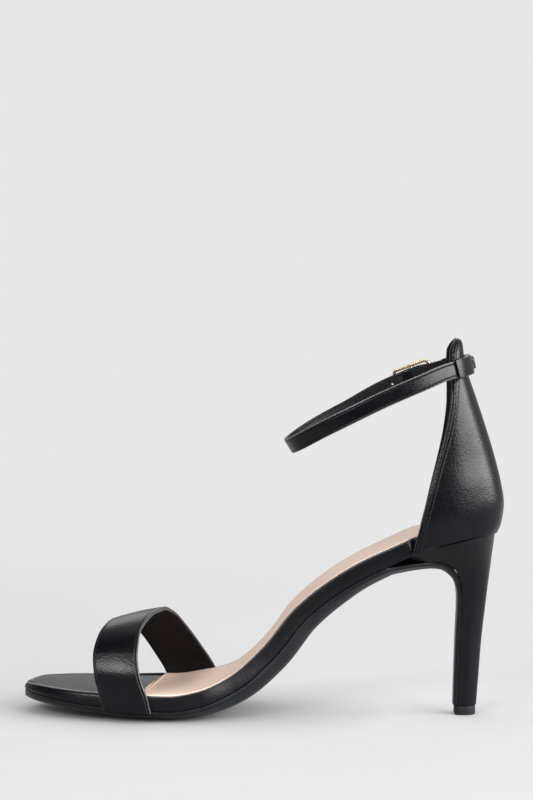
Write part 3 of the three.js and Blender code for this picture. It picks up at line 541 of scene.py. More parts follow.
@dataclass(frozen=True)
class Leather:
    """Finished leather with a fine grain, and on straps grooves darkened with painted shade, pale
    painted edges that also stand in for painted edge highlights, and a lining.
    """

    name: str
    colour: Colour = (0.0011, 0.0010, 0.0016)
    pale: Colour = (0.0026, 0.0025, 0.0033)
    roughness: float = 0.31
    grain: float = 0.8
    relief: float = 0.045
    width: float = 0.0
    grooves: tuple[float, ...] = ()
    groove_depth: float = 0.18
    groove_width: float = 0.42
    # Colour in the stitch grooves: painted shade that darkens the recesses.
    groove_shade_colour: Colour = (0.001, 0.001, 0.0013)
    # Width in millimetres of the pale edge band: real edge paint that also stands in for a painted
    # highlight on the rounded edge.
    edge_paint_and_sheen: float = 0.0
    # Edge colour: real edge paint, lightened to serve as a painted highlight.
    paint: Colour = (0.04, 0.039, 0.042)
    lining: Colour | None = None
    specular: float = 0.20

    def material(self) -> Material:
        """Builds the material."""
        graph = Surface(self.name)
        fine = graph.noise(self.grain, 4.0, 0.6)
        coarse = graph.noise(self.grain * 7, 3.0, 0.5)
        pores = graph.cells(self.grain * 1.3)
        height = (fine + pores * 0.9 + coarse * 1.6) * (self.relief * MM)
        cloudy = graph.noise(14.0, 2.0).step(0.3, 0.7)
        colour = graph.blend(cloudy * 0.6 + fine * 0.3, self.colour, self.pale)
        rough = fine * 0.10 + coarse * 0.08 + (self.roughness - 0.09)
        if self.width:
            _, across, _ = graph.axes(graph.pattern)
            inside = across.step(LINING_FROM * MM, (LINING_FROM + 1) * MM)
            across = across - inside * (LINING * MM)
            # Each groove is pressed in and darkened with painted shade.
            for place in self.grooves:
                away = abs(across - place * MM)
                dip = 1 - away.step(0.0, self.groove_width * MM)
                height = height - dip * (self.groove_depth * MM)
                colour = graph.blend(dip * 0.7, colour, self.groove_shade_colour)
                rough = rough + dip * 0.15
            # Painted highlight: the edge band is coloured pale and made smoother, on top of the
            # real edge paint.
            if self.edge_paint_and_sheen:
                side = abs(across).least(self.width * MM - across)
                paint = 1 - side.step(self.edge_paint_and_sheen * 0.5 * MM, self.edge_paint_and_sheen * MM)
                colour = graph.blend(paint, colour, self.paint)
                rough = rough - paint * 0.08
            if self.lining:
                colour = graph.blend(inside, colour, self.lining)
                rough = rough + inside * 0.2
        return graph.shader(Base_Color=colour, Roughness=rough, Normal=graph.relief(height),
                            Specular_IOR_Level=self.specular)


@dataclass(frozen=True)
class SockLeather:
    """Nude lining leather with soft pores and cloudy wear."""

    name: str = "sock_leather"
    colour: Colour = (0.76, 0.58, 0.47)
    worn: Colour = (0.65, 0.47, 0.375)

    def material(self) -> Material:
        """Builds the material."""
        graph = Surface(self.name)
        fine = graph.noise(0.5, 4.0, 0.6)
        pores = graph.cells(0.9)
        clouds = graph.noise(22.0, 3.0)
        height = (fine + pores) * (0.012 * MM) + clouds * (0.05 * MM)
        colour = graph.blend(clouds.step(0.35, 0.75) * 0.35 + fine * 0.1, self.colour, self.worn)
        return graph.shader(Base_Color=colour, Roughness=fine * 0.1 + 0.55,
                            Normal=graph.relief(height), Specular_IOR_Level=0.35)


@dataclass(frozen=True)
class SoleRubber:
    """Matt moulded outsole with a slightly scuffed tread."""

    name: str
    colour: Colour = (0.005, 0.005, 0.006)
    pale: Colour = (0.011, 0.0107, 0.012)
    roughness: float = 0.40

    def material(self) -> Material:
        """Builds the material."""
        graph = Surface(self.name)
        fine = graph.noise(0.4, 3.0)
        streak = graph.noise(9.0, 3.0)
        _, _, up = graph.axes(graph.object)
        tread = 1 - up.step(0.1 * MM, 2.2 * MM)
        colour = graph.blend(streak.step(0.35, 0.8) * 0.6 + tread * 0.3, self.colour, self.pale)
        rough = fine * 0.12 + streak * 0.08 + tread * 0.15 + (self.roughness - 0.1)
        height = fine * (0.014 * MM) + graph.noise(3.0) * (0.03 * MM)
        return graph.shader(Base_Color=colour, Roughness=rough, Normal=graph.relief(height),
                            Specular_IOR_Level=0.2)


@dataclass(frozen=True)
class GoldPlate:
    """Pale gold plating with fine wear."""

    name: str = "gold_plate"
    colour: Colour = (0.50, 0.375, 0.225)
    worn: Colour = (0.38, 0.265, 0.145)
    roughness: float = 0.30

    def material(self) -> Material:
        """Builds the material."""
        graph = Surface(self.name)
        fine = graph.noise(0.3, 3.0)
        wear = graph.noise(2.2, 4.0)
        colour = graph.blend(wear.step(0.4, 0.75), self.colour, self.worn)
        rough = fine * 0.1 + wear * 0.08 + (self.roughness - 0.06)
        return graph.shader(Base_Color=colour, Metallic=1.0, Roughness=rough,
                            Normal=graph.relief(fine * (0.003 * MM)))


@dataclass(frozen=True)
class Thread:
    """Waxed polyester thread with a twist."""

    name: str
    colour: Colour = (0.003, 0.003, 0.0035)

    def material(self) -> Material:
        """Builds the material."""
        graph = Surface(self.name)
        fibre = graph.noise(0.25, 2.0)
        pale = tuple(c * 2.2 for c in self.colour)
        colour = graph.blend(fibre, self.colour, pale)
        return graph.shader(Base_Color=colour, Roughness=fibre * 0.2 + 0.5,
                            Specular_IOR_Level=0.25)


@dataclass
class Stitching:
    """Rows of stitches laid along paths by a Geometry Nodes tree."""

    maker: Maker
    spacing: float = 2.5
    length: float = 1.9
    thickness: float = 0.42
    sink: float = 0.10
    wobble: tuple[float, float] = (0.93, 1.05)
    seed: int = 7

    def sizes(self) -> dict[str, float]:
        """Sizes in metres by the names of the tree's inputs."""
        return {"Spacing": self.spacing * MM, "Length": self.length * MM,
                "Thickness": self.thickness * MM}

    def tree(self, material: Material) -> bpy.types.GeometryNodeTree:
        """Builds the tree, with named inputs for its sizes."""
        tree = bpy.data.node_groups.new("stitches", "GeometryNodeTree")
        face = tree.interface
        face.new_socket("Path", in_out="INPUT", socket_type="NodeSocketGeometry")
        for name, value in self.sizes().items():
            socket = face.new_socket(name, in_out="INPUT", socket_type="NodeSocketFloat")
            socket.default_value = value
        seed = face.new_socket("Seed", in_out="INPUT", socket_type="NodeSocketInt")
        seed.default_value = self.seed
        face.new_socket("Stitches", in_out="OUTPUT", socket_type="NodeSocketGeometry")
        graph = Graph(tree)
        given = graph.node("NodeGroupInput", {}).outputs
        points = graph.node("GeometryNodeCurveToPoints", {"mode": "LENGTH"},
                            Curve=given["Path"], Length=given["Spacing"]).outputs
        bead = graph.node("GeometryNodeMeshUVSphere", {}, Segments=8, Rings=6, Radius=0.5)
        size = graph.node("ShaderNodeCombineXYZ", {}, X=given["Thickness"], Y=given["Thickness"],
                          Z=given["Length"])
        wobble = graph.node("FunctionNodeRandomValue", {"data_type": "FLOAT"}, Seed=given["Seed"])
        limits = [s for s in wobble.inputs if s.type == "VALUE"]
        for socket, value in zip(limits, self.wobble):
            socket.default_value = value
        share = next(s for s in wobble.outputs if s.type == "VALUE")
        scale = graph.node("ShaderNodeVectorMath", {"operation": "SCALE"}, size.outputs["Vector"],
                           Scale=share)
        beads = graph.node("GeometryNodeInstanceOnPoints", {}, Points=points["Points"],
                           Instance=bead.outputs["Mesh"], Rotation=points["Rotation"],
                           Scale=scale.outputs["Vector"])
        real = graph.node("GeometryNodeRealizeInstances", {}, Geometry=beads.outputs["Instances"])
        paint = graph.node("GeometryNodeSetMaterial", {}, Geometry=real.outputs["Geometry"],
                           Material=material)
        graph.node("NodeGroupOutput", {}, Stitches=paint.outputs["Geometry"])
        return tree

    def sew(self, name: str, paths: list[list[Point]], material: Material,
            slot: str) -> Piece:
        """Lays stitches along paths.

        Args:
            name: name of the new object.
            paths: rows of points in millimetres, one row for each seam.
            material: the thread's material.
            slot: the material slot that the thread belongs to; not used.

        Returns:
            The stitches as one plain mesh.
        """
        curve = bpy.data.curves.new(name, "CURVE")
        curve.dimensions = "3D"
        for path in paths:
            spline = curve.splines.new("POLY")
            spline.points.add(len(path) - 1)
            for point, stop in zip(spline.points, path):
                point.co = (*self.maker.place.metres(stop), 1.0)
        guide = link_object(name + "_guide", curve)
        modifier = guide.modifiers.new("Stitches", "NODES")
        modifier.node_group = self.tree(material)
        sizes = self.sizes()
        for item in modifier.node_group.interface.items_tree:
            if item.item_type == "SOCKET" and item.name in sizes:
                modifier[item.identifier] = sizes[item.name]
        graph = bpy.context.evaluated_depsgraph_get()
        mesh = bpy.data.meshes.new_from_object(guide.evaluated_get(graph))
        mesh.name = name
        bpy.data.objects.remove(guide)
        piece = link_object(name, mesh)
        return self.maker.finish(piece, material, slot, angle=80)


def bend(points: Sequence[Point], t: float) -> Point:
    """Point at a share of a centripetal curve through points, counted by its spans."""
    stops = [np.asarray(p, dtype=float) for p in points]
    stops = [2 * stops[0] - stops[1], *stops, 2 * stops[-1] - stops[-2]]
    place = clamp(t) * (len(points) - 1)
    i = min(int(place), len(points) - 2)
    w = place - i
    a, b, c, d = stops[i:i + 4]
    gap = [max(length(q - p) ** 0.5, 1e-6) for p, q in ((a, b), (b, c), (c, d))]
    first = ((b - a) / gap[0] - (c - a) / (gap[0] + gap[1]) + (c - b) / gap[1]) * gap[1]
    last = ((c - b) / gap[1] - (d - b) / (gap[1] + gap[2]) + (d - c) / gap[2]) * gap[1]
    cubic = 2 * b - 2 * c + first + last
    square = -3 * b + 3 * c - 2 * first - last
    return b + first * w + square * w * w + cubic * w ** 3


@dataclass
class Sole:
    """Covered board, sock, outsole, heel block and top piece."""

    shoe: Shoe
    maker: Maker
    sock_margin: float = 1.4
    sock_thickness: float = 0.7
    sock_near: float = 0.262
    sock_far: float = 0.292
    sock_bow: float = 0.022
    column_front: float = 92.9
    arch_height: float = 74.2
    breast_wall: float = 1.8
    tip_width: float = 9.8
    tip_height: float = 4.4
    belly: float = 0.42
    toe_recess: float = 0.35
    toe_round: float = 2.1
    toe_bulge: float = 0.45
    toe_bulge_end: float = 0.17
    toe_edge: tuple[float, float] = (0.20, 0.28)
    bunching: float = 0.62

    def ends(self, first: float, last: float, count: int) -> list[float]:
        """Shares along the sole, bunched at both round ends."""
        turn = 2 * math.pi
        return [mix(first, last, t - self.bunching * math.sin(turn * t) / turn)
                for t in shares(count)]

    def side(self, depth: float, bed: float, r: float) -> list[tuple[float, float]]:
        """Heights and insets down the side of the board, from the bed's foot."""
        rim = self.shoe.bed_rim
        lip = [(bed * 0.45, r + rim * 0.62), (-0.06, r + rim * 0.25)]
        arc = [(-r * (1 - math.cos(a)), r * (1 - math.sin(a)))
               for a in np.linspace(0, math.pi / 2, 8)]
        wall = [(-r - (depth - r - 0.5) * t, -0.25 * math.sin(math.pi * t))
                for t in (0.2, 0.4, 0.6, 0.8, 1.0)]
        foot = [(-depth + 0.28, 0.08), (-depth + 0.08, 0.25), (-depth, 0.55)]
        return lip + arc + wall + foot

    def make_footbed(self, material: Material) -> None:
        """Covered board with its rim and shallow bed."""
        shoe = self.shoe
        start = 0.5 / shoe.length
        rings, uv = [], []
        for at in self.ends(start, shoe.seat_end - start, 190):
            depth = shoe.depth(at)
            bed = -mix(self.toe_recess, shoe.bed_recess, smooth(at, 0.20, 0.26))
            r = mix(min(self.toe_round, depth - 0.9), shoe.board_round, smooth(at, *self.toe_edge))
            side = self.side(depth, bed, r)
            inset = r + shoe.bed_rim
            ring = [(v, bed, inset) for v in np.linspace(-1, 1, 21)]
            ring += [(1.0, up, gap) for up, gap in side]
            ring += [(v, -depth, 0.55) for v in np.linspace(0.9, -0.9, 11)]
            ring += [(-1.0, up, gap) for up, gap in reversed(side)]
            rings.append([shoe.point(at, *place) for place in ring])
            uv.append([(at * shoe.length, -up if gap <= r else r - gap) for _, up, gap in ring])
        piece = self.maker.grid("footbed_skin", rings, uv)
        self.maker.finish(piece, material, "footbed", "footbed", angle=50)

    def make_sock(self, material: Material) -> None:
        """Nude sock with softly rounded edges."""
        shoe = self.shoe
        low = shoe.clearance * 1.3 - shoe.bed_recess
        high = low + self.sock_thickness
        rim = self.sock_margin + shoe.board_round + shoe.bed_rim / 2
        back = shoe.seat_end - 2.4 / shoe.length
        rings = []
        section = [(1.0, high - 0.45, 0.0), (1.0, high - 0.2, 0.03), (1.0, high - 0.05, 0.25)]
        across = list(np.linspace(0.97, -0.97, 29))
        for t in np.sin(np.array(shares(120)) * math.pi / 2):
            def at(v: float) -> float:
                """Share along the shoe, on the sock's bowed front edge or behind it."""
                front = mix(self.sock_near, self.sock_far, (v + 1) / 2)
                return mix(front - self.sock_bow * (1 - v * v), back, float(t))
            ring = [shoe.point(at(v), v, low, rim) for v in (-1.0, -0.5, 0.0, 0.5, 1.0)]
            ring += [shoe.point(at(v), v, up, rim + gap) for v, up, gap in section]
            ring += [shoe.point(at(v), v, high, rim) for v in across]
            ring += [shoe.point(at(-v), -v, up, rim + gap) for v, up, gap in reversed(section)]
            rings.append(ring)
        piece = self.maker.grid("sock_skin", rings)
        self.maker.finish(piece, material, "sock", "sock", angle=60)

    def breast_rows(self) -> list[Row]:
        """Path, width and wall of the outsole where it follows the heel."""
        low = (self.tip_height + self.shoe.clearance) / self.arch_height
        return table(
            "x z half wall",
            (0.672, 0.976, 1.98, 2.25), (0.755, 0.990, 1.72, 2.05), (0.850, 1.000, 1.42, 2.00),
            (0.918, 0.992, 1.20, 2.15), (0.968, 0.950, 1.00, 2.05), (0.999, 0.885, 0.84, 1.55),
            (1.011, 0.785, 0.72, 1.12), (1.005, 0.500, 0.60, 1.00), (1.001, 0.250, 0.52, 1.00),
            (0.999, low, 0.48, 1.00),
        )

    def breast(self, offset: float, count: int) -> list[tuple[float, Point, Point]]:
        """Share, place and upward normal along the arch and down the heel's breast."""
        origin, normal = self.shoe.stand(self.shoe.leave)
        points = [origin - normal * (self.shoe.depth(self.shoe.leave) + self.shoe.clearance)]
        points += [np.array([row["x"] * self.column_front, 0.0, row["z"] * self.arch_height])
                   for row in self.breast_rows()]
        path = []
        for t in shares(count):
            ahead = unit(bend(points, min(t + 1e-4, 1.0)) - bend(points, max(t - 1e-4, 0.0)))
            up = np.array([-ahead[2], 0.0, ahead[0]])
            path.append((t, bend(points, t) + up * offset, up))
        return path

    def outsole_ring(self, place: Point, normal: Point, reach: tuple[float, float], edge: float,
                     crown: float, sag: Curve) -> list[Point]:
        """Section of the outsole: an upright edge, then a rounded belly.

        Args:
            place: middle of the section's top face.
            normal: upward direction across the sole's run.
            reach: half width on the inner side and on the outer side.
            edge: height of the upright edge.
            crown: depth of the belly below the edge.
            sag: height of the top face at a share across.

        Returns:
            The section's points in order.
        """
        def at(v: float, up: float) -> Point:
            """Point across the section."""
            point = place + normal * up
            point[1] = v * (reach[0] if v < 0 else reach[1])
            return point
        side = ((0.998, 0.12), (1.0, 0.35), (0.992, edge * 0.6))
        ring = [at(v, sag(v)) for v in np.linspace(-0.985, 0.985, 15)]
        ring += [at(v, sag(1.0) - down) for v, down in side]
        for a in np.linspace(1, -1, 41):
            v = math.copysign(1 - (1 - abs(a)) ** 1.5, a)
            belly = min(1.0, (1 - abs(v)) / self.belly)
            up = sag(v) * (1 - belly) ** 2 - edge - crown * math.sin(belly * math.pi / 2)
            ring.append(at(v * 0.985, up))
        return ring + [at(-v, sag(-1.0) - down) for v, down in reversed(side)]

    def make_outsole(self, material: Material) -> None:
        """Outsole from the toe to the foot of the heel's breast."""
        shoe = self.shoe
        rings = []
        first = 0.5 / shoe.length
        for t in shares(130):
            at = mix(first, shoe.leave, t - 0.75 * math.sin(math.pi * t) / math.pi * (1 - t) ** 2)
            origin, normal = shoe.stand(at)
            reach = (shoe.half(at, -1, shoe.outsole_inset), shoe.half(at, 1, shoe.outsole_inset))
            place = origin - normal * (shoe.depth(at) + shoe.clearance)
            belly = shoe.crown * shoe.curve["crown"](at)
            belly += self.toe_bulge * math.sin(math.pi * min(at / self.toe_bulge_end, 1.0))
            belly -= self.toe_recess * (1 - smooth(at, 0.0, 0.03))
            rings.append(self.outsole_ring(place, normal, reach, shoe.outsole_edge, belly,
                                           lambda v, at=at: shoe.sag(at, v)))
        near = shoe.half(shoe.leave, -1, shoe.outsole_inset)
        far = shoe.half(shoe.leave, 1, shoe.outsole_inset)
        rows = self.breast_rows()
        first_wall = shoe.outsole_edge + shoe.crown * shoe.curve["crown"](shoe.leave)
        strip = [{"at": 0.0, "half": far, "wall": first_wall}]
        strip += [{"at": (i + 1) / len(rows), "half": row["half"] * self.tip_width,
                   "wall": row["wall"] * self.breast_wall} for i, row in enumerate(rows)]
        half, wall = through(strip, "half"), through(strip, "wall")
        share = shoe.outsole_edge / (shoe.outsole_edge + shoe.crown)
        for t, point, normal in self.breast(0.0, 110)[1:]:
            skew = (far - near) * (1 - smooth(t, 0.0, 0.2))
            reach = (half(t) - skew, half(t))
            rings.append(self.outsole_ring(point, normal, reach, wall(t) * share,
                                           wall(t) * (1 - share), lambda v: 0.0))
        piece = self.maker.grid("outsole_skin", rings)
        self.maker.finish(piece, material, "outsole", "outsole", angle=50)

    def heel_rings(self) -> list[list[Point]]:
        """Rings of the heel block before its seat and breast are cut."""
        rows = table(
            "up back half",
            (0.050, 0.935, 0.103), (0.185, 0.942, 0.108), (0.400, 0.953, 0.122),
            (0.620, 0.971, 0.150), (0.740, 0.981, 0.195), (0.810, 0.988, 0.265),
            (0.870, 0.993, 0.360), (0.930, 0.999, 0.455), (0.990, 1.004, 0.505),
            (1.080, 1.009, 0.520),
        )
        shoe = self.shoe
        back_at, half_at = through(rows, "back", "up"), through(rows, "half", "up")
        base = (self.tip_height + shoe.clearance) / shoe.heel_height
        nose = shoe.half(shoe.leave + 0.02, -1, 0.0)
        rings = []
        for t in shares(90):
            up = mix(base, rows[-1]["up"], t)
            back, half = back_at(up) * (shoe.seat_back + 1), half_at(up) * shoe.seat_width
            opening = smooth(up, 0.66, 0.84)
            front = mix(self.column_front - 3, shoe.leave_board, opening)
            round_ = min(half * 1.15, (back - front) * 0.8)
            height = up * shoe.heel_height
            front_half = mix(half * 0.94, min(nose, half * 0.94), opening)
            arc = []
            for k in shares(41):
                angle = (k - 0.5) * math.pi
                x = back - round_ + round_ * max(math.cos(angle), 0.0) ** 0.95
                arc.append(np.array([x, half * math.sin(angle), height]))
            low, high = (np.array([front, y, height]) for y in (-front_half, front_half))
            near = [low + (arc[0] - low) * k for k in shares(9)[:-1]]
            far = [arc[-1] + (high - arc[-1]) * k for k in shares(9)[1:]]
            rings.append([*near, *arc, *far])
        return rings

    def prism(self, name: str, outline: list[Point]) -> Piece:
        """Block over a side outline, wider than the shoe, to cut with."""
        wide = self.shoe.ball_width
        rings = [[np.array([p[0], y, p[2]]) for p in outline] for y in (-wide, wide)]
        return self.maker.grid(name, rings)

    def make_heel(self, material: Material) -> None:
        """Heel block cut by the seat and by the outsole's breast."""
        shoe = self.shoe
        piece = self.maker.grid("heel_cover", self.heel_rings())
        breast = [place for _, place, _ in self.breast(shoe.clearance, 120)]
        low = -10.0
        ends = ((breast[-1][0], low), (0.0, low), (0.0, breast[0][2]))
        breast += [np.array([x, 0.0, z]) for x, z in ends]
        seat = []
        for t in shares(90):
            at = mix(shoe.leave - 0.03, 1.04, t)
            origin, normal = shoe.stand(min(at, 1.0))
            place = origin - normal * (shoe.depth(min(at, 1.0)) + shoe.clearance)
            place[0] += max(at - 1.0, 0.0) * shoe.length
            seat.append(place)
        top = shoe.counter_height
        seat += [np.array([seat[-1][0], 0, top]), np.array([seat[0][0], 0, top])]
        cutters = (self.prism("seat_cutter", seat), self.prism("breast_cutter", breast))
        self.maker.cut(piece, cutters)
        self.maker.finish(piece, material, "heel", "heel", angle=35)

    def build(self) -> None:
        """Builds the sole's pieces."""
        # The band's top edge is coloured pale: a painted highlight along the board's rounded edge.
        self.make_footbed(Leather("band_leather", roughness=0.36, width=WIDE, edge_paint_and_sheen=0.5,
                                  paint=PALE_EDGE_AND_SHEEN).material())
        self.make_sock(SockLeather().material())
        self.make_outsole(SoleRubber("outsole_rubber").material())
        self.make_heel(Leather("heel_leather", roughness=0.36, relief=0.010).material())
        tip = self.maker.polished("top_piece", "top_piece_rubber")
        rubber = SoleRubber("tip_rubber", roughness=0.55).material()
        self.maker.finish(tip, rubber, "top_piece", "top_piece")


@dataclass
class Upper:
    """Toe strap and closed counter, with their stitches."""

    shoe: Shoe
    maker: Maker
    stitching: Stitching
    strap_wall: float = 2.0
    strap_height: float = 49.2
    strap_width: float = 21.5
    corner: float = 0.55
    counter_half: float = 26.6
    counter_back: float = 113.8
    seam: float = 1.35
    counter_seams: tuple[float, float] = (1.5, 3.2)
    tab_rim: float = 0.008
    tab_round: float = 0.62
    edge_swell: float = 0.42

    def __post_init__(self) -> None:
        """Works out the curves of the toe strap and the counter."""
        strap = table(
            "run across fx fz rx rz",
            (0.00, -1.00, 0.176, 0.118, 0.275, 0.102), (0.08, -1.01, 0.166, 0.264, 0.266, 0.264),
            (0.17, -1.00, 0.156, 0.440, 0.252, 0.440), (0.27, -0.90, 0.152, 0.630, 0.245, 0.650),
            (0.36, -0.70, 0.158, 0.776, 0.247, 0.826), (0.45, -0.42, 0.170, 0.868, 0.260, 0.944),
            (0.52, -0.12, 0.184, 0.902, 0.276, 0.993), (0.58, 0.15, 0.198, 0.898, 0.291, 0.995),
            (0.66, 0.44, 0.215, 0.832, 0.311, 0.925), (0.75, 0.70, 0.238, 0.682, 0.341, 0.735),
            (0.84, 0.91, 0.264, 0.470, 0.370, 0.525), (0.92, 1.00, 0.286, 0.285, 0.395, 0.345),
            (1.00, 1.00, 0.301, 0.128, 0.411, 0.205),
        )
        columns = ("across", "fx", "fz", "rx", "rz")
        self.strap = {key: through(strap, key, "run") for key in columns}
        counter = table(
            "up front far back half round",
            (0.00, 0.000, 0.108, 0.934, 0.945, 2.7), (0.05, 0.022, 0.107, 0.975, 0.965, 2.7),
            (0.15, 0.080, 0.105, 1.000, 1.000, 2.6), (0.25, 0.135, 0.098, 0.968, 0.990, 2.5),
            (0.40, 0.222, 0.085, 0.887, 0.930, 2.3), (0.55, 0.315, 0.055, 0.788, 0.865, 2.2),
            (0.70, 0.378, 0.020, 0.680, 0.770, 2.1), (0.82, 0.390, 0.000, 0.591, 0.640, 2.1),
            (0.90, 0.372, 0.000, 0.547, 0.480, 2.1), (0.94, 0.374, 0.000, 0.539, 0.400, 2.1),
            (0.97, 0.398, 0.000, 0.530, 0.305, 2.0), (0.99, 0.428, 0.000, 0.514, 0.205, 2.0),
            (1.00, 0.452, 0.000, 0.494, 0.130, 2.0),
        )
        columns = ("front", "far", "back", "half", "round")
        self.counter = {key: through(counter, key, "up") for key in columns}

    def strap_outer(self, run: float, k: float) -> Point:
        """Point of the toe strap's outer face."""
        shoe, at = self.shoe, self.strap
        middle = (at["fx"](run) + at["rx"](run)) / 2
        reach = (at["rx"](run) - at["fx"](run)) / 2 * self.strap_width / (0.095 * shoe.length)
        share = middle + (2 * k - 1) * reach
        v = at["across"](run)
        half = max(shoe.half(share, v, 0.0), shoe.half(share - 0.018, v, 0.0))
        half += 2.6 * shoe.clearance + self.strap_wall
        bow = 0.6 * math.sin(math.pi * clamp(k))
        z = mix(at["fz"](run), at["rz"](run), k) * self.strap_height
        return np.array([shoe.x(share), v * half + bow * v, z + bow * (1 - abs(v))])

    def strap_point(self, run: float, k: float, deep: float) -> Point:
        """Point of the toe strap below its outer face."""
        step = 0.008
        along = self.strap_outer(min(run + step, 1), k) - self.strap_outer(max(run - step, 0), k)
        wide = self.strap_outer(run, k + 0.03) - self.strap_outer(run, k - 0.03)
        return self.strap_outer(run, k) + unit(np.cross(along, wide)) * deep

    def strap_section(self) -> list[tuple[float, float, float]]:
        """Shares across, depths and pattern distances round the strap's section."""
        wide, wall, r = self.strap_width, self.strap_wall, self.corner
        near, far = 0.1, wide - 0.1
        section = [(d / wide, 0.0, d) for d in np.linspace(r, wide - r, 25)]
        section += [((wide - r + r * s) / wide, r * (1 - c), far) for _, s, c in corner(30, 60, 90)]
        section += [((wide - r + r * c) / wide, wall - r * (1 - s),
                     far if a < 60 else TOE_LINING + wide) for a, s, c in corner(0, 30, 60, 90)]
        section += [(d / wide, wall, TOE_LINING + d) for d in np.linspace(wide - r, r, 13)[1:-1]]
        section += [((r - r * c) / wide, wall - r * (1 - s), near if a < 60 else TOE_LINING)
                    for a, s, c in corner(90, 60, 30, 0)]
        section += [((r - r * s) / wide, r * (1 - c), near) for _, s, c in corner(90, 60, 30)]
        return section

    def make_toe_strap(self, material: Material) -> None:
        """Wide strap over the toes with rounded edges."""
        section = self.strap_section()
        runs = shares(170)
        along = distances([self.strap_outer(run, 0.5) for run in runs])
        rings = [[self.strap_point(run, k, deep) for k, deep, _ in section] for run in runs]
        uv = [[(place, distance) for _, _, distance in section] for place in along]
        piece = self.maker.grid("toe_strap_skin", rings, uv)
        self.maker.finish(piece, material, "toe_strap", "toe_strap", angle=50)

    def stitch_toe_strap(self, thread: Material) -> None:
        """Rows of stitches near both edges of the toe strap."""
        paths = []
        for distance in (self.seam, self.strap_width - self.seam):
            k = distance / self.strap_width
            paths.append([self.strap_point(mix(0.02, 0.98, run), k, self.stitching.sink)
                          for run in shares(220)])
        self.stitching.sew("toe_strap_stitches", paths, thread, "toe_strap")

    def seam_height(self, x: float) -> float:
        """Height of the seam under the counter at a place along the shoe."""
        at = min(self.shoe.share(x), 0.985)
        origin, normal = self.shoe.stand(at)
        return float((origin - normal * self.shoe.depth(at))[2])

    def counter_plan(self, up: float, inset: float, angle: float) -> tuple[float, float]:
        """Place on the counter's plan at a height, inset from its outer face."""
        shoe, curve = self.shoe, self.counter
        depth = self.counter_back - shoe.counter_front
        front = shoe.counter_front + curve["front"](up) * depth
        front += curve["far"](up) * depth if angle > 0 else 0.0
        back = shoe.counter_front + curve["back"](up) * depth - inset
        half = curve["half"](up) * self.counter_half - inset
        power = 2 / curve["round"](up)
        x = front + (back - front) * max(math.cos(angle), 0.0) ** power
        return x, half * rounded(math.sin(angle), power)

    def counter_point(self, up: float, inset: float, angle: float) -> Point:
        """Point of the counter."""
        x, y = self.counter_plan(up, inset, angle)
        seam = self.seam_height(self.counter_plan(0.0, 0.0, angle)[0])
        z = mix(seam, self.shoe.counter_height, up)
        return np.array([x, y, z])

    def make_counter(self, material: Material) -> None:
        """Closed heel cup that narrows to a rounded tab."""
        wall = self.shoe.counter_wall
        angles = [math.pi / 2 * rounded(a, 0.8) for a in np.linspace(-1, 1, 81)]
        top = 1 - self.tab_rim
        steps = [(u, 0.0) for u in np.linspace(0, top, 110)]
        steps += [(top + self.tab_rim * s, self.tab_round * (1 - c))
                  for _, s, c in corner(25, 50, 70, 90)]
        swell = ((0.08, 0.18), (0.25, 0.36), (0.5, self.edge_swell), (0.75, 0.36), (0.92, 0.18))
        lift = np.array([self.edge_swell, 0, 0])
        rings, uv = [], []
        for up, shrink in steps:
            outer = [self.counter_point(up, shrink, a) for a in angles]
            inner = [self.counter_point(up, wall - shrink, a) for a in reversed(angles)]
            soft = [[start + (end - start) * share - np.array([gain, 0, 0]) + lift
                     for share, gain in swell]
                    for start, end in ((outer[-1], inner[0]), (inner[-1], outer[0]))]
            for ring in (outer, inner):
                ring[0] = ring[0] + lift * 0.9
                ring[-1] = ring[-1] + lift * 0.9
            rings.append([*outer, *soft[0], *inner, *soft[1]])
            run = distances([point[:2] for point in outer])
            near = [min(r, run[-1] - r) + 0.5 for r in run]
            across = [*near, *[0.1] * len(swell), *[LINING + n for n in reversed(near)],
                      *[0.1] * len(swell)]
            uv.append([(point[2], distance) for point, distance in zip(rings[-1], across)])
        piece = self.maker.grid("counter_skin", rings, uv)
        self.maker.finish(piece, material, "counter", "counter", angle=55)

    def edge_path(self, side: float, distance: float) -> list[Point]:
        """Path up the counter at a distance from its front edge.

        Args:
            side: -1 for the inner side, 1 for the outer side.
            distance: distance from the edge along the outer face, in millimetres.

        Returns:
            Points from the seam to just under the tab's end.
        """
        path = []
        for up in np.linspace(0.012, 0.93, 150):
            travelled, angle = 0.0, side * math.pi / 2
            before = self.counter_point(up, 0.0, angle)
            while travelled < distance and abs(angle) > 0.02:
                angle -= side * 0.006
                point = self.counter_point(up, 0.0, angle)
                travelled += length((point - before)[:2])
                before = point
            path.append(self.counter_point(up, self.stitching.sink, angle))
        return path

    def stitch_counter(self, thread: Material) -> None:
        """Double rows of stitches behind both front edges of the counter."""
        paths = [self.edge_path(side, distance) for side in (-1.0, 1.0)
                 for distance in self.counter_seams]
        self.stitching.sew("counter_stitches", paths, thread, "counter")

    def build(self) -> None:
        """Builds the upper's pieces."""
        # The toe strap and the counter get lighter painted edges, which also stand in for painted
        # highlights on their rounded edges.
        strap = Leather("toe_strap_leather", width=self.strap_width,
                        grooves=(self.seam, self.strap_width - self.seam),
                        edge_paint_and_sheen=0.5, lining=(0.0050, 0.0038, 0.0026))
        self.make_toe_strap(strap.material())
        grooves = tuple(distance + 0.5 for distance in self.counter_seams)
        counter = Leather("counter_leather", grooves=grooves, edge_paint_and_sheen=0.45, width=WIDE,
                          lining=(0.0085, 0.0065, 0.0045), groove_depth=0.12)
        self.make_counter(counter.material())
        thread = Thread("black_thread").material()
        self.stitch_toe_strap(thread)
        self.stitch_counter(thread)


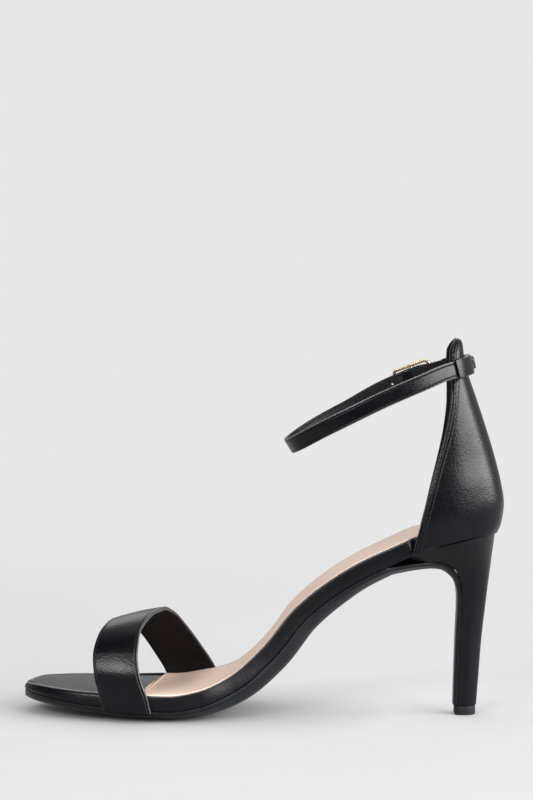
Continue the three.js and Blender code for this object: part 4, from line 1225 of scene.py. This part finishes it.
@dataclass
class AnkleStrap:
    """Strap round the ankle with its loops, stitches and buckle."""

    maker: Maker
    stitching: Stitching
    clearance: float = 0.3
    width: float = 7.8
    thickness: float = 1.6
    front: float = 11.2
    back: float = 95.9
    low: float = 128.0
    climb: float = 39.7
    far_lift: float = 1.6
    half_span: float = 31.0
    square: float = 0.86
    loop_wall: float = 0.9
    buckle_length: float = 18.0
    wire: float = 1.7
    corner: float = 2.4
    prong_wire: float = 1.3
    buckle_at: float = 71.4
    sagitta: float = 1.0
    taper: float = 0.22
    spare_hole: float = 61.6
    seam: float = 1.15
    hole: float = 0.55
    flap: float = 4.6
    flap_depth: float = 0.28
    bar_size: tuple[float, float] = (0.66, 0.62)
    fold_size: tuple[float, float] = (0.92, 0.88)

    def __post_init__(self) -> None:
        """Works out the turns of the strap at its buckle and its end."""
        rows = table(
            "at rise lift",
            (0.00, 0.000, 0.00), (0.16, 0.210, 0.00), (0.31, 0.383, 0.00), (0.50, 0.590, 0.68),
            (0.60, 0.687, 0.95), (0.72, 0.798, 1.00), (0.86, 0.922, -0.30), (1.00, 1.000, 0.00),
        )
        self.rise, self.lift = through(rows, "rise"), through(rows, "lift")
        self.middle = (self.front + self.back) / 2
        self.reach = (self.back - self.front) / 2
        self.bar_turn = self.outer_turn(self.buckle_at)
        self.front_bar = self.outer_turn(self.buckle_at - self.buckle_length / 2)
        self.rear_bar = self.outer_turn(self.buckle_at + self.buckle_length / 2)
        self.start = self.bar_turn - 2 * math.pi
        self.tip = self.outer_turn(self.back - 0.4)
        self.layer = self.thickness + self.clearance
        self.over_bar = self.thickness + self.wire + 2 * self.clearance
        self.bar_out = (self.thickness + self.wire) / 2 + self.clearance
        self.over_loop = self.thickness + self.loop_wall + 3 * self.clearance

    def outer_turn(self, x: float) -> float:
        """Turn at which the outer side of the loop reaches a place along the shoe."""
        share = clamp((x - self.middle) / self.reach, -1.0)
        return 2 * math.pi - math.acos(rounded(share, 1 / self.square))

    def plan(self, turn: float) -> Point:
        """Place of the loop's middle line, seen from above."""
        along, across = rounded(math.cos(turn), self.square), rounded(math.sin(turn), self.square)
        return np.array([self.middle + self.reach * along, -self.half_span * across])

    def height(self, share: float, far: float) -> float:
        """Height of the middle line, higher on the outer side where far is 1."""
        return self.low + self.climb * self.rise(share) + self.far_lift * far * self.lift(share)

    def point(self, turn: float, out: float, up: float) -> Point:
        """Point of the loop, out from its middle line and up across the strap."""
        here, ahead, behind = self.plan(turn), self.plan(turn + 0.02), self.plan(turn - 0.02)
        outside = unit(np.array([-(ahead[1] - behind[1]), ahead[0] - behind[0]]))
        span = self.back - self.front
        share = (here[0] - self.front) / span
        far = max(0.0, -math.sin(turn)) ** 2
        above, below = min(share + 0.04, 0.98), max(share - 0.04, 0.02)
        slope = (self.height(above, far) - self.height(below, far)) / ((above - below) * span)
        across = unit(np.array([-slope, 0.0, 1.0]))
        outwards = unit(np.array([outside[0], outside[1], slope * outside[0]]))
        return np.array([here[0], here[1], self.height(share, far)]) + outwards * out + across * up

    def out(self, turn: float) -> float:
        """How far the strap lies out from the loop at a turn."""
        climb = smooth(turn, self.front_bar + 0.02, self.bar_turn - 0.03)
        settle = smooth(turn, self.rear_bar + 0.08, self.rear_bar + 0.2)
        lift = smooth(turn, self.tip - 0.42, self.tip - 0.3)
        hump = smooth(turn, self.bar_turn + 0.04, self.rear_bar - 0.04)
        over = self.over_bar * climb + self.sagitta * hump
        under = (self.layer - self.over_bar - self.sagitta) * settle
        return over + under + (self.over_loop - self.layer) * lift

    def breadth(self, turn: float) -> float:
        """Width of the strap, which tapers at its free end."""
        return self.width * (1 - self.taper * smooth(turn, self.tip - 0.16, self.tip))

    def section(self, width: float) -> list[tuple[float, float, float]]:
        """Heights out and up, and pattern distances, round the strap's section."""
        half, deep, r, crown = width / 2, self.thickness / 2, 0.5, 0.10
        outer = [(deep + crown * (1 - (v / (half - r)) ** 2), v, v + half)
                 for v in np.linspace(-half + r, half - r, 15)]

        def side(sign: float, face: float) -> list[tuple[float, float, float]]:
            """Rounded side between the outer and the inner face."""
            arc = [(deep - r + r * c, sign * (half - r + r * s), face)
                   for _, s, c in corner(30, 60, 90)]
            return arc + [(-deep + r - r * c, sign * (half - r + r * s),
                           face if a > 60 else LINING + face) for a, s, c in corner(90, 60, 30, 0)]

        inner = [(-deep, v, LINING + v + half) for v in np.linspace(half - r, -half + r, 9)[1:-1]]
        return outer + side(1.0, width - 0.1) + inner + list(reversed(side(-1.0, 0.1)))

    def turns(self) -> list[float]:
        """Turns of the strap's rings, closer at the buckle and at its rounded end."""
        body = list(np.linspace(self.start, self.front_bar, 260))
        crossing = list(np.linspace(self.front_bar, self.rear_bar, 60))[1:]
        return body + crossing + list(np.linspace(self.rear_bar, self.tip, 70))[1:]

    def make_strap(self, material: Material) -> None:
        """Strap from under the buckle's bar, round the ankle, to its free end."""
        rings, uv = [], []
        turns = self.turns()
        along = distances([self.point(turn, self.out(turn), 0.0) for turn in turns])
        for turn, place in zip(turns, along):
            section = self.section(self.breadth(turn))
            rings.append([self.point(turn, self.out(turn) + deep, up) for deep, up, _ in section])
            scale = self.width / self.breadth(turn)
            uv.append([(place, d * scale if d < LINING_FROM else d) for _, _, d in section])
        piece = self.maker.grid("ankle_strap_skin", rings, uv)
        self.punch(piece)
        self.maker.finish(piece, material, "ankle_strap", "ankle_strap", angle=50)

    def punch(self, piece: Piece) -> None:
        """Cuts the round hole before the buckle and the one under its prong."""
        pinned = mix(self.front_bar, self.bar_turn, 0.62)
        for turn, shift in ((pinned, 2.7), (self.outer_turn(self.spare_hole), 0.0)):
            centre = self.point(turn, self.out(turn) + shift, 0.0)
            outside = self.point(turn, self.out(turn) + 1, 0.0) - centre
            bpy.ops.mesh.primitive_cylinder_add(vertices=24, radius=self.hole * MM, depth=6 * MM)
            cutter = bpy.context.object
            cutter.data.transform(Vector(outside).to_track_quat("Z", "Y").to_matrix().to_4x4())
            cutter.data.transform(Matrix.Translation(self.maker.place.metres(centre)))
            self.maker.cut(piece, [cutter])

    def stitch(self, thread: Material) -> None:
        """Rows of stitches near both edges of the strap."""
        turns = [mix(self.start + 0.05, self.tip - 0.05, s) for s in shares(700)]
        within = [turn for turn in turns if turn < self.front_bar - 0.1]
        out = self.thickness / 2 - self.stitching.sink + 0.06
        paths = [[self.point(turn, self.out(turn) + face * out,
                             side * (self.breadth(turn) / 2 - self.seam)) for turn in run]
                 for side in (-1.0, 1.0) for face, run in ((1.0, turns), (-1.0, within))]
        self.stitching.sew("ankle_strap_stitches", paths, thread, "ankle_strap")

    def basis(self) -> tuple[Point, Point, Point, Point]:
        """Middle of the buckle's bar and its directions: along, across and out."""
        centre = self.point(self.bar_turn, self.bar_out, 0.0)
        out = self.point(self.bar_turn, self.bar_out + 1, 0.0) - centre
        across = self.point(self.bar_turn, self.bar_out, 1.0) - centre
        return centre, np.cross(across, out), across, out

    def tube(self, name: str, path: list[Point], flat: Point, wide: Curve | float,
             deep: Curve | float, close: bool = False, power: float = 0.8) -> Piece:
        """Wire along a path, with an oval section that keeps one side up.

        Args:
            name: name of the new object.
            path: points along the wire.
            flat: direction that the section's depth points in.
            wide: half width, or its curve over shares of the path.
            deep: half depth, or its curve over shares of the path.
            close: whether the wire is a ring.
            power: 1 for an oval section, less for a squarer one.

        Returns:
            The wire as a mesh object.
        """
        rings = []
        count = len(path)
        for i, centre in enumerate(path):
            ahead = path[(i + 1) % count] if close else path[min(i + 1, count - 1)]
            behind = path[i - 1] if close else path[max(i - 1, 0)]
            tangent = unit(ahead - behind)
            side = unit(np.cross(flat, tangent))
            top = np.cross(tangent, side)
            share = i / (count - 1)
            half, depth = (size(share) if callable(size) else size for size in (wide, deep))
            rings.append([centre + side * rounded(math.cos(a), power) * half
                          + top * rounded(math.sin(a), power) * depth
                          for a in np.linspace(0, 2 * math.pi, 17)[:-1]])
        if close:
            rings.append(rings[0])
        piece = self.maker.grid(name, rings, caps=not close)
        self.maker.shade(piece, 60)
        return piece

    def make_buckle(self, material: Material, leather: Material) -> None:
        """Rounded frame with a leather-covered middle bar, and the prong hooked over it."""
        centre, along, across, out = self.basis()
        reach = self.buckle_length / 2
        side = self.width / 2 + self.clearance + self.wire / 2
        r = self.corner - self.wire * 0.3
        loop = []
        for quarter, (sx, sy) in enumerate(((1, 1), (-1, 1), (-1, -1), (1, -1))):
            for a in np.linspace(0, math.pi / 2, 9) + quarter * math.pi / 2:
                loop.append((sx * (reach - r) + r * math.cos(a), sy * (side - r) + r * math.sin(a)))
        path = []
        for a, b in zip(loop, loop[1:] + loop[:1]):
            steps = max(1, int(math.dist(a, b) / 0.8))
            for k in range(steps):
                x, y = (mix(start, end, k / steps) for start, end in zip(a, b))
                path.append(centre + along * x + across * y)
        half = self.wire / 2
        ring = self.tube("buckle_ring", path, out, half * 0.92, half * 0.86, True, 0.5)
        path = [centre + across * y for y in np.linspace(-side, side, 15)]
        bar = self.tube("buckle_bar", path, out, *self.bar_size)
        fold_reach = self.width / 2 - 0.3
        path = [centre + across * y for y in np.linspace(-fold_reach, fold_reach, 15)]
        fold = self.tube("bar_fold", path, out, *self.fold_size)
        turns = np.linspace(self.outer_turn(self.buckle_at - self.flap), self.bar_turn, 15)
        path = [self.point(turn, self.bar_out - 1.0, 0.0) for turn in turns]
        flap = self.tube("bar_flap", path, out,
                         lambda t: fold_reach * mix(0.72, 1.0, smooth(t, 0.0, 0.3)),
                         self.flap_depth, power=0.6)
        for piece in (fold, flap):
            self.maker.finish(piece, leather, "ankle_strap")
        for piece in (ring, bar):
            self.maker.finish(piece, material, "buckle_frame")
        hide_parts("buckle_frame")
        self.make_prong(material)

    def make_prong(self, material: Material) -> None:
        """Tapered pin from the bar, over the frame's front end."""
        rise = (self.wire + self.prong_wire) / 2 + self.clearance
        stops = [
            self.point(mix(self.bar_turn, self.front_bar, 0.20), self.bar_out + 0.1, 0.0),
            self.point(mix(self.bar_turn, self.front_bar, 0.55), self.bar_out + rise * 0.9, 0.0),
            self.point(self.front_bar - 0.02, self.bar_out + rise + self.sagitta * 1.5, 0.0),
        ]
        path = [bend(stops, t) for t in shares(24)]
        _, _, _, out = self.basis()
        half = self.prong_wire / 2
        piece = self.tube("buckle_pin", path, out, lambda t: half * (1 - 0.3 * t ** 3),
                          lambda t: half * (1 - 0.35 * t ** 2))
        self.maker.finish(piece, material, "buckle_prong", "buckle_prong")

    def build(self) -> None:
        """Builds the strap, its loops and its buckle."""
        # The strap's edges are coloured pale: a painted highlight along its rounded edges, on real
        # edge paint.
        strap = Leather("ankle_strap_leather", width=self.width,
                        grooves=(self.seam, self.width - self.seam), edge_paint_and_sheen=0.45,
                        paint=PALE_EDGE_AND_SHEEN, lining=(0.0035, 0.0034, 0.0038))
        self.make_strap(strap.material())
        self.stitch(Thread("strap_thread").material())
        plain = Leather("loop_leather").material()
        for node in ("back_loop", "strap_keeper"):
            self.maker.finish(self.maker.polished(node, node + "_leather"), plain, node, node)
        self.make_buckle(GoldPlate().material(), plain)


class Side(Enum):
    """Where a studio light stands round the shoe."""

    TOP = "top"
    TOE = "toe"
    HEEL = "heel"
    BEHIND = "behind"


@dataclass(frozen=True)
class SoftBox:
    """Rectangular studio light, in metres and watts."""

    side: Side
    place: tuple[float, float, float]
    target: tuple[float, float, float]
    size: tuple[float, float]
    power: float

    def build(self) -> None:
        """Adds the light."""
        data = bpy.data.lights.new(f"softbox_{self.side.value}", "AREA")
        data.shape = "RECTANGLE"
        data.size, data.size_y = self.size
        data.energy = self.power
        light = link_object(data.name, data)
        light.location = self.place
        light.rotation_mode = "QUATERNION"
        aim = Vector(self.target) - Vector(self.place)
        light.rotation_quaternion = aim.to_track_quat("-Z", "Y")


@dataclass
class Studio:
    """Pale sweep, soft lights and the camera at the photograph's angle."""

    maker: Maker
    backdrop: float = 0.807
    behind: float = 0.50
    front: float = 0.008
    floor_glow: float = 0.63
    floor_paint: float = 0.157
    # Reach in metres of the painted contact shadow in the floor's glow.
    painted_shadow_reach: float = 0.055
    floor_front: float = 0.42
    front_fade: tuple[float, float] = (0.17, 0.01)
    round_fade: tuple[float, float] = (0.22, 0.90)
    distance: float = 1150.0
    height: float = 207.1
    down: float = 2.87
    roll: float = 0.7
    focal_pixels: float = 2415.0
    image_height: int = 800
    lights: tuple[SoftBox, ...] = (
        SoftBox(Side.TOP, (0.0, 0.60, 1.60), (0.0, 0.0, 0.05), (1.0, 0.6), 2.0),
        SoftBox(Side.TOE, (-0.80, -1.60, 1.05), (-0.03, 0.0, 0.05), (0.90, 0.44), 38.0),
        SoftBox(Side.HEEL, (1.66, -0.74, 0.85), (0.09, 0.0, 0.11), (2.60, 1.15), 150.0),
        SoftBox(Side.BEHIND, (0.15, 1.6, 1.1), (0.0, 0.0, 0.05), (1.6, 0.9), 9.0),
    )

    def world(self) -> None:
        """Pale backdrop all round; its light comes from behind, and the front is dim."""
        world = bpy.data.worlds.new("studio")
        world.use_nodes = True
        graph = Graph(world.node_tree)
        pale = (self.backdrop, self.backdrop, self.backdrop, 1)
        seen = graph.node("ShaderNodeBackground", {}, Color=pale)
        _, depth, _ = graph.axes(graph.node("ShaderNodeTexCoord", {}).outputs["Generated"])
        level = depth.step(-0.25, 0.75, self.front, self.behind)
        lit = graph.node("ShaderNodeBackground", {}, Strength=level)
        camera = graph.node("ShaderNodeLightPath", {}).outputs["Is Camera Ray"]
        both = graph.node("ShaderNodeMixShader", {}, camera, lit.outputs[0], seen.outputs[0])
        graph.node("ShaderNodeOutputWorld", {}, both.outputs[0])
        bpy.context.scene.world = world
        bpy.context.scene.view_settings.view_transform = "Standard"

    def floor(self) -> None:
        """Matt floor that takes soft shadows from the lamps, has a painted contact shadow darkening
        its glow near the shoe, and fades into the backdrop.
        """
        graph = Surface("studio_floor")
        x, y, _ = graph.axes(graph.object)
        away = (x * x + y * y).power(0.5)
        paint, glow, pale = ((level, level, level, 1) for level in
                             (self.floor_paint, self.floor_glow * self.backdrop, self.backdrop))
        # Painted contact shadow: ambient occlusion darkens the floor's glow near the shoe.
        painted_contact_shadow = graph.node("ShaderNodeAmbientOcclusion", {"samples": 8}, Color=glow,
                            Distance=self.painted_shadow_reach)
        matt = graph.node("ShaderNodeBsdfDiffuse", {}, Color=paint)
        lamp = graph.node("ShaderNodeEmission", {}, Color=painted_contact_shadow.outputs["Color"])
        near = graph.node("ShaderNodeAddShader", {}, matt.outputs[0], lamp.outputs[0])
        far = graph.node("ShaderNodeEmission", {}, Color=pale)
        ahead = (0 - y).step(*(self.floor_front - gap for gap in self.front_fade))
        fade = 1 - (1 - away.step(*self.round_fade)) * (1 - ahead)
        both = graph.node("ShaderNodeMixShader", {}, fade, near.outputs[0], far.outputs[0])
        graph.node("ShaderNodeOutputMaterial", {}, both.outputs[0])
        mesh = bpy.data.meshes.new("studio_floor")
        size = 4.0
        near_edge = -self.floor_front
        corners = [(-size, near_edge, 0), (size, near_edge, 0), (size, size, 0), (-size, size, 0)]
        mesh.from_pydata(corners, [], [(0, 1, 2, 3)])
        floor = link_object("studio_floor", mesh)
        mesh.materials.append(graph.material)

    def camera(self) -> None:
        """Camera at the photograph's place, tilt and roll."""
        data = bpy.data.cameras.new("camera")
        data.sensor_width = 36.0
        data.lens = self.focal_pixels * data.sensor_width / self.image_height
        data.dof.use_dof = False
        data.clip_start, data.clip_end = 0.05, 20.0
        tilt, roll = math.radians(self.down), math.radians(self.roll)
        right, up = Vector((1, 0, 0)), Vector((0, math.sin(tilt), math.cos(tilt)))
        ahead = Vector((0, math.cos(tilt), -math.sin(tilt)))
        rolled_right = right * math.cos(roll) + up * math.sin(roll)
        rolled_up = up * math.cos(roll) - right * math.sin(roll)
        camera = link_object("camera", data)
        turn = Matrix((rolled_right, rolled_up, -ahead)).transposed().to_4x4()
        place = self.maker.place.metres(np.array([0.0, -self.distance, self.height]))
        camera.matrix_world = Matrix.Translation(place) @ turn
        bpy.context.scene.camera = camera

    def build(self) -> None:
        """Builds the studio."""
        self.world()
        self.floor()
        for light in self.lights:
            light.build()
        self.camera()


def main() -> None:
    """Builds the shoe and its studio."""
    logging.basicConfig(level=logging.INFO, format="%(name)s: %(message)s")
    shoe = Shoe()
    maker = Maker(Frame(tip_front=91.7))
    Studio(maker).build()
    Sole(shoe, maker).build()
    stitching = Stitching(maker)
    Upper(shoe, maker, stitching).build()
    AnkleStrap(maker, Stitching(maker, spacing=2.3, length=1.8, thickness=0.34)).build()


if __name__ == "__main__":
    main()
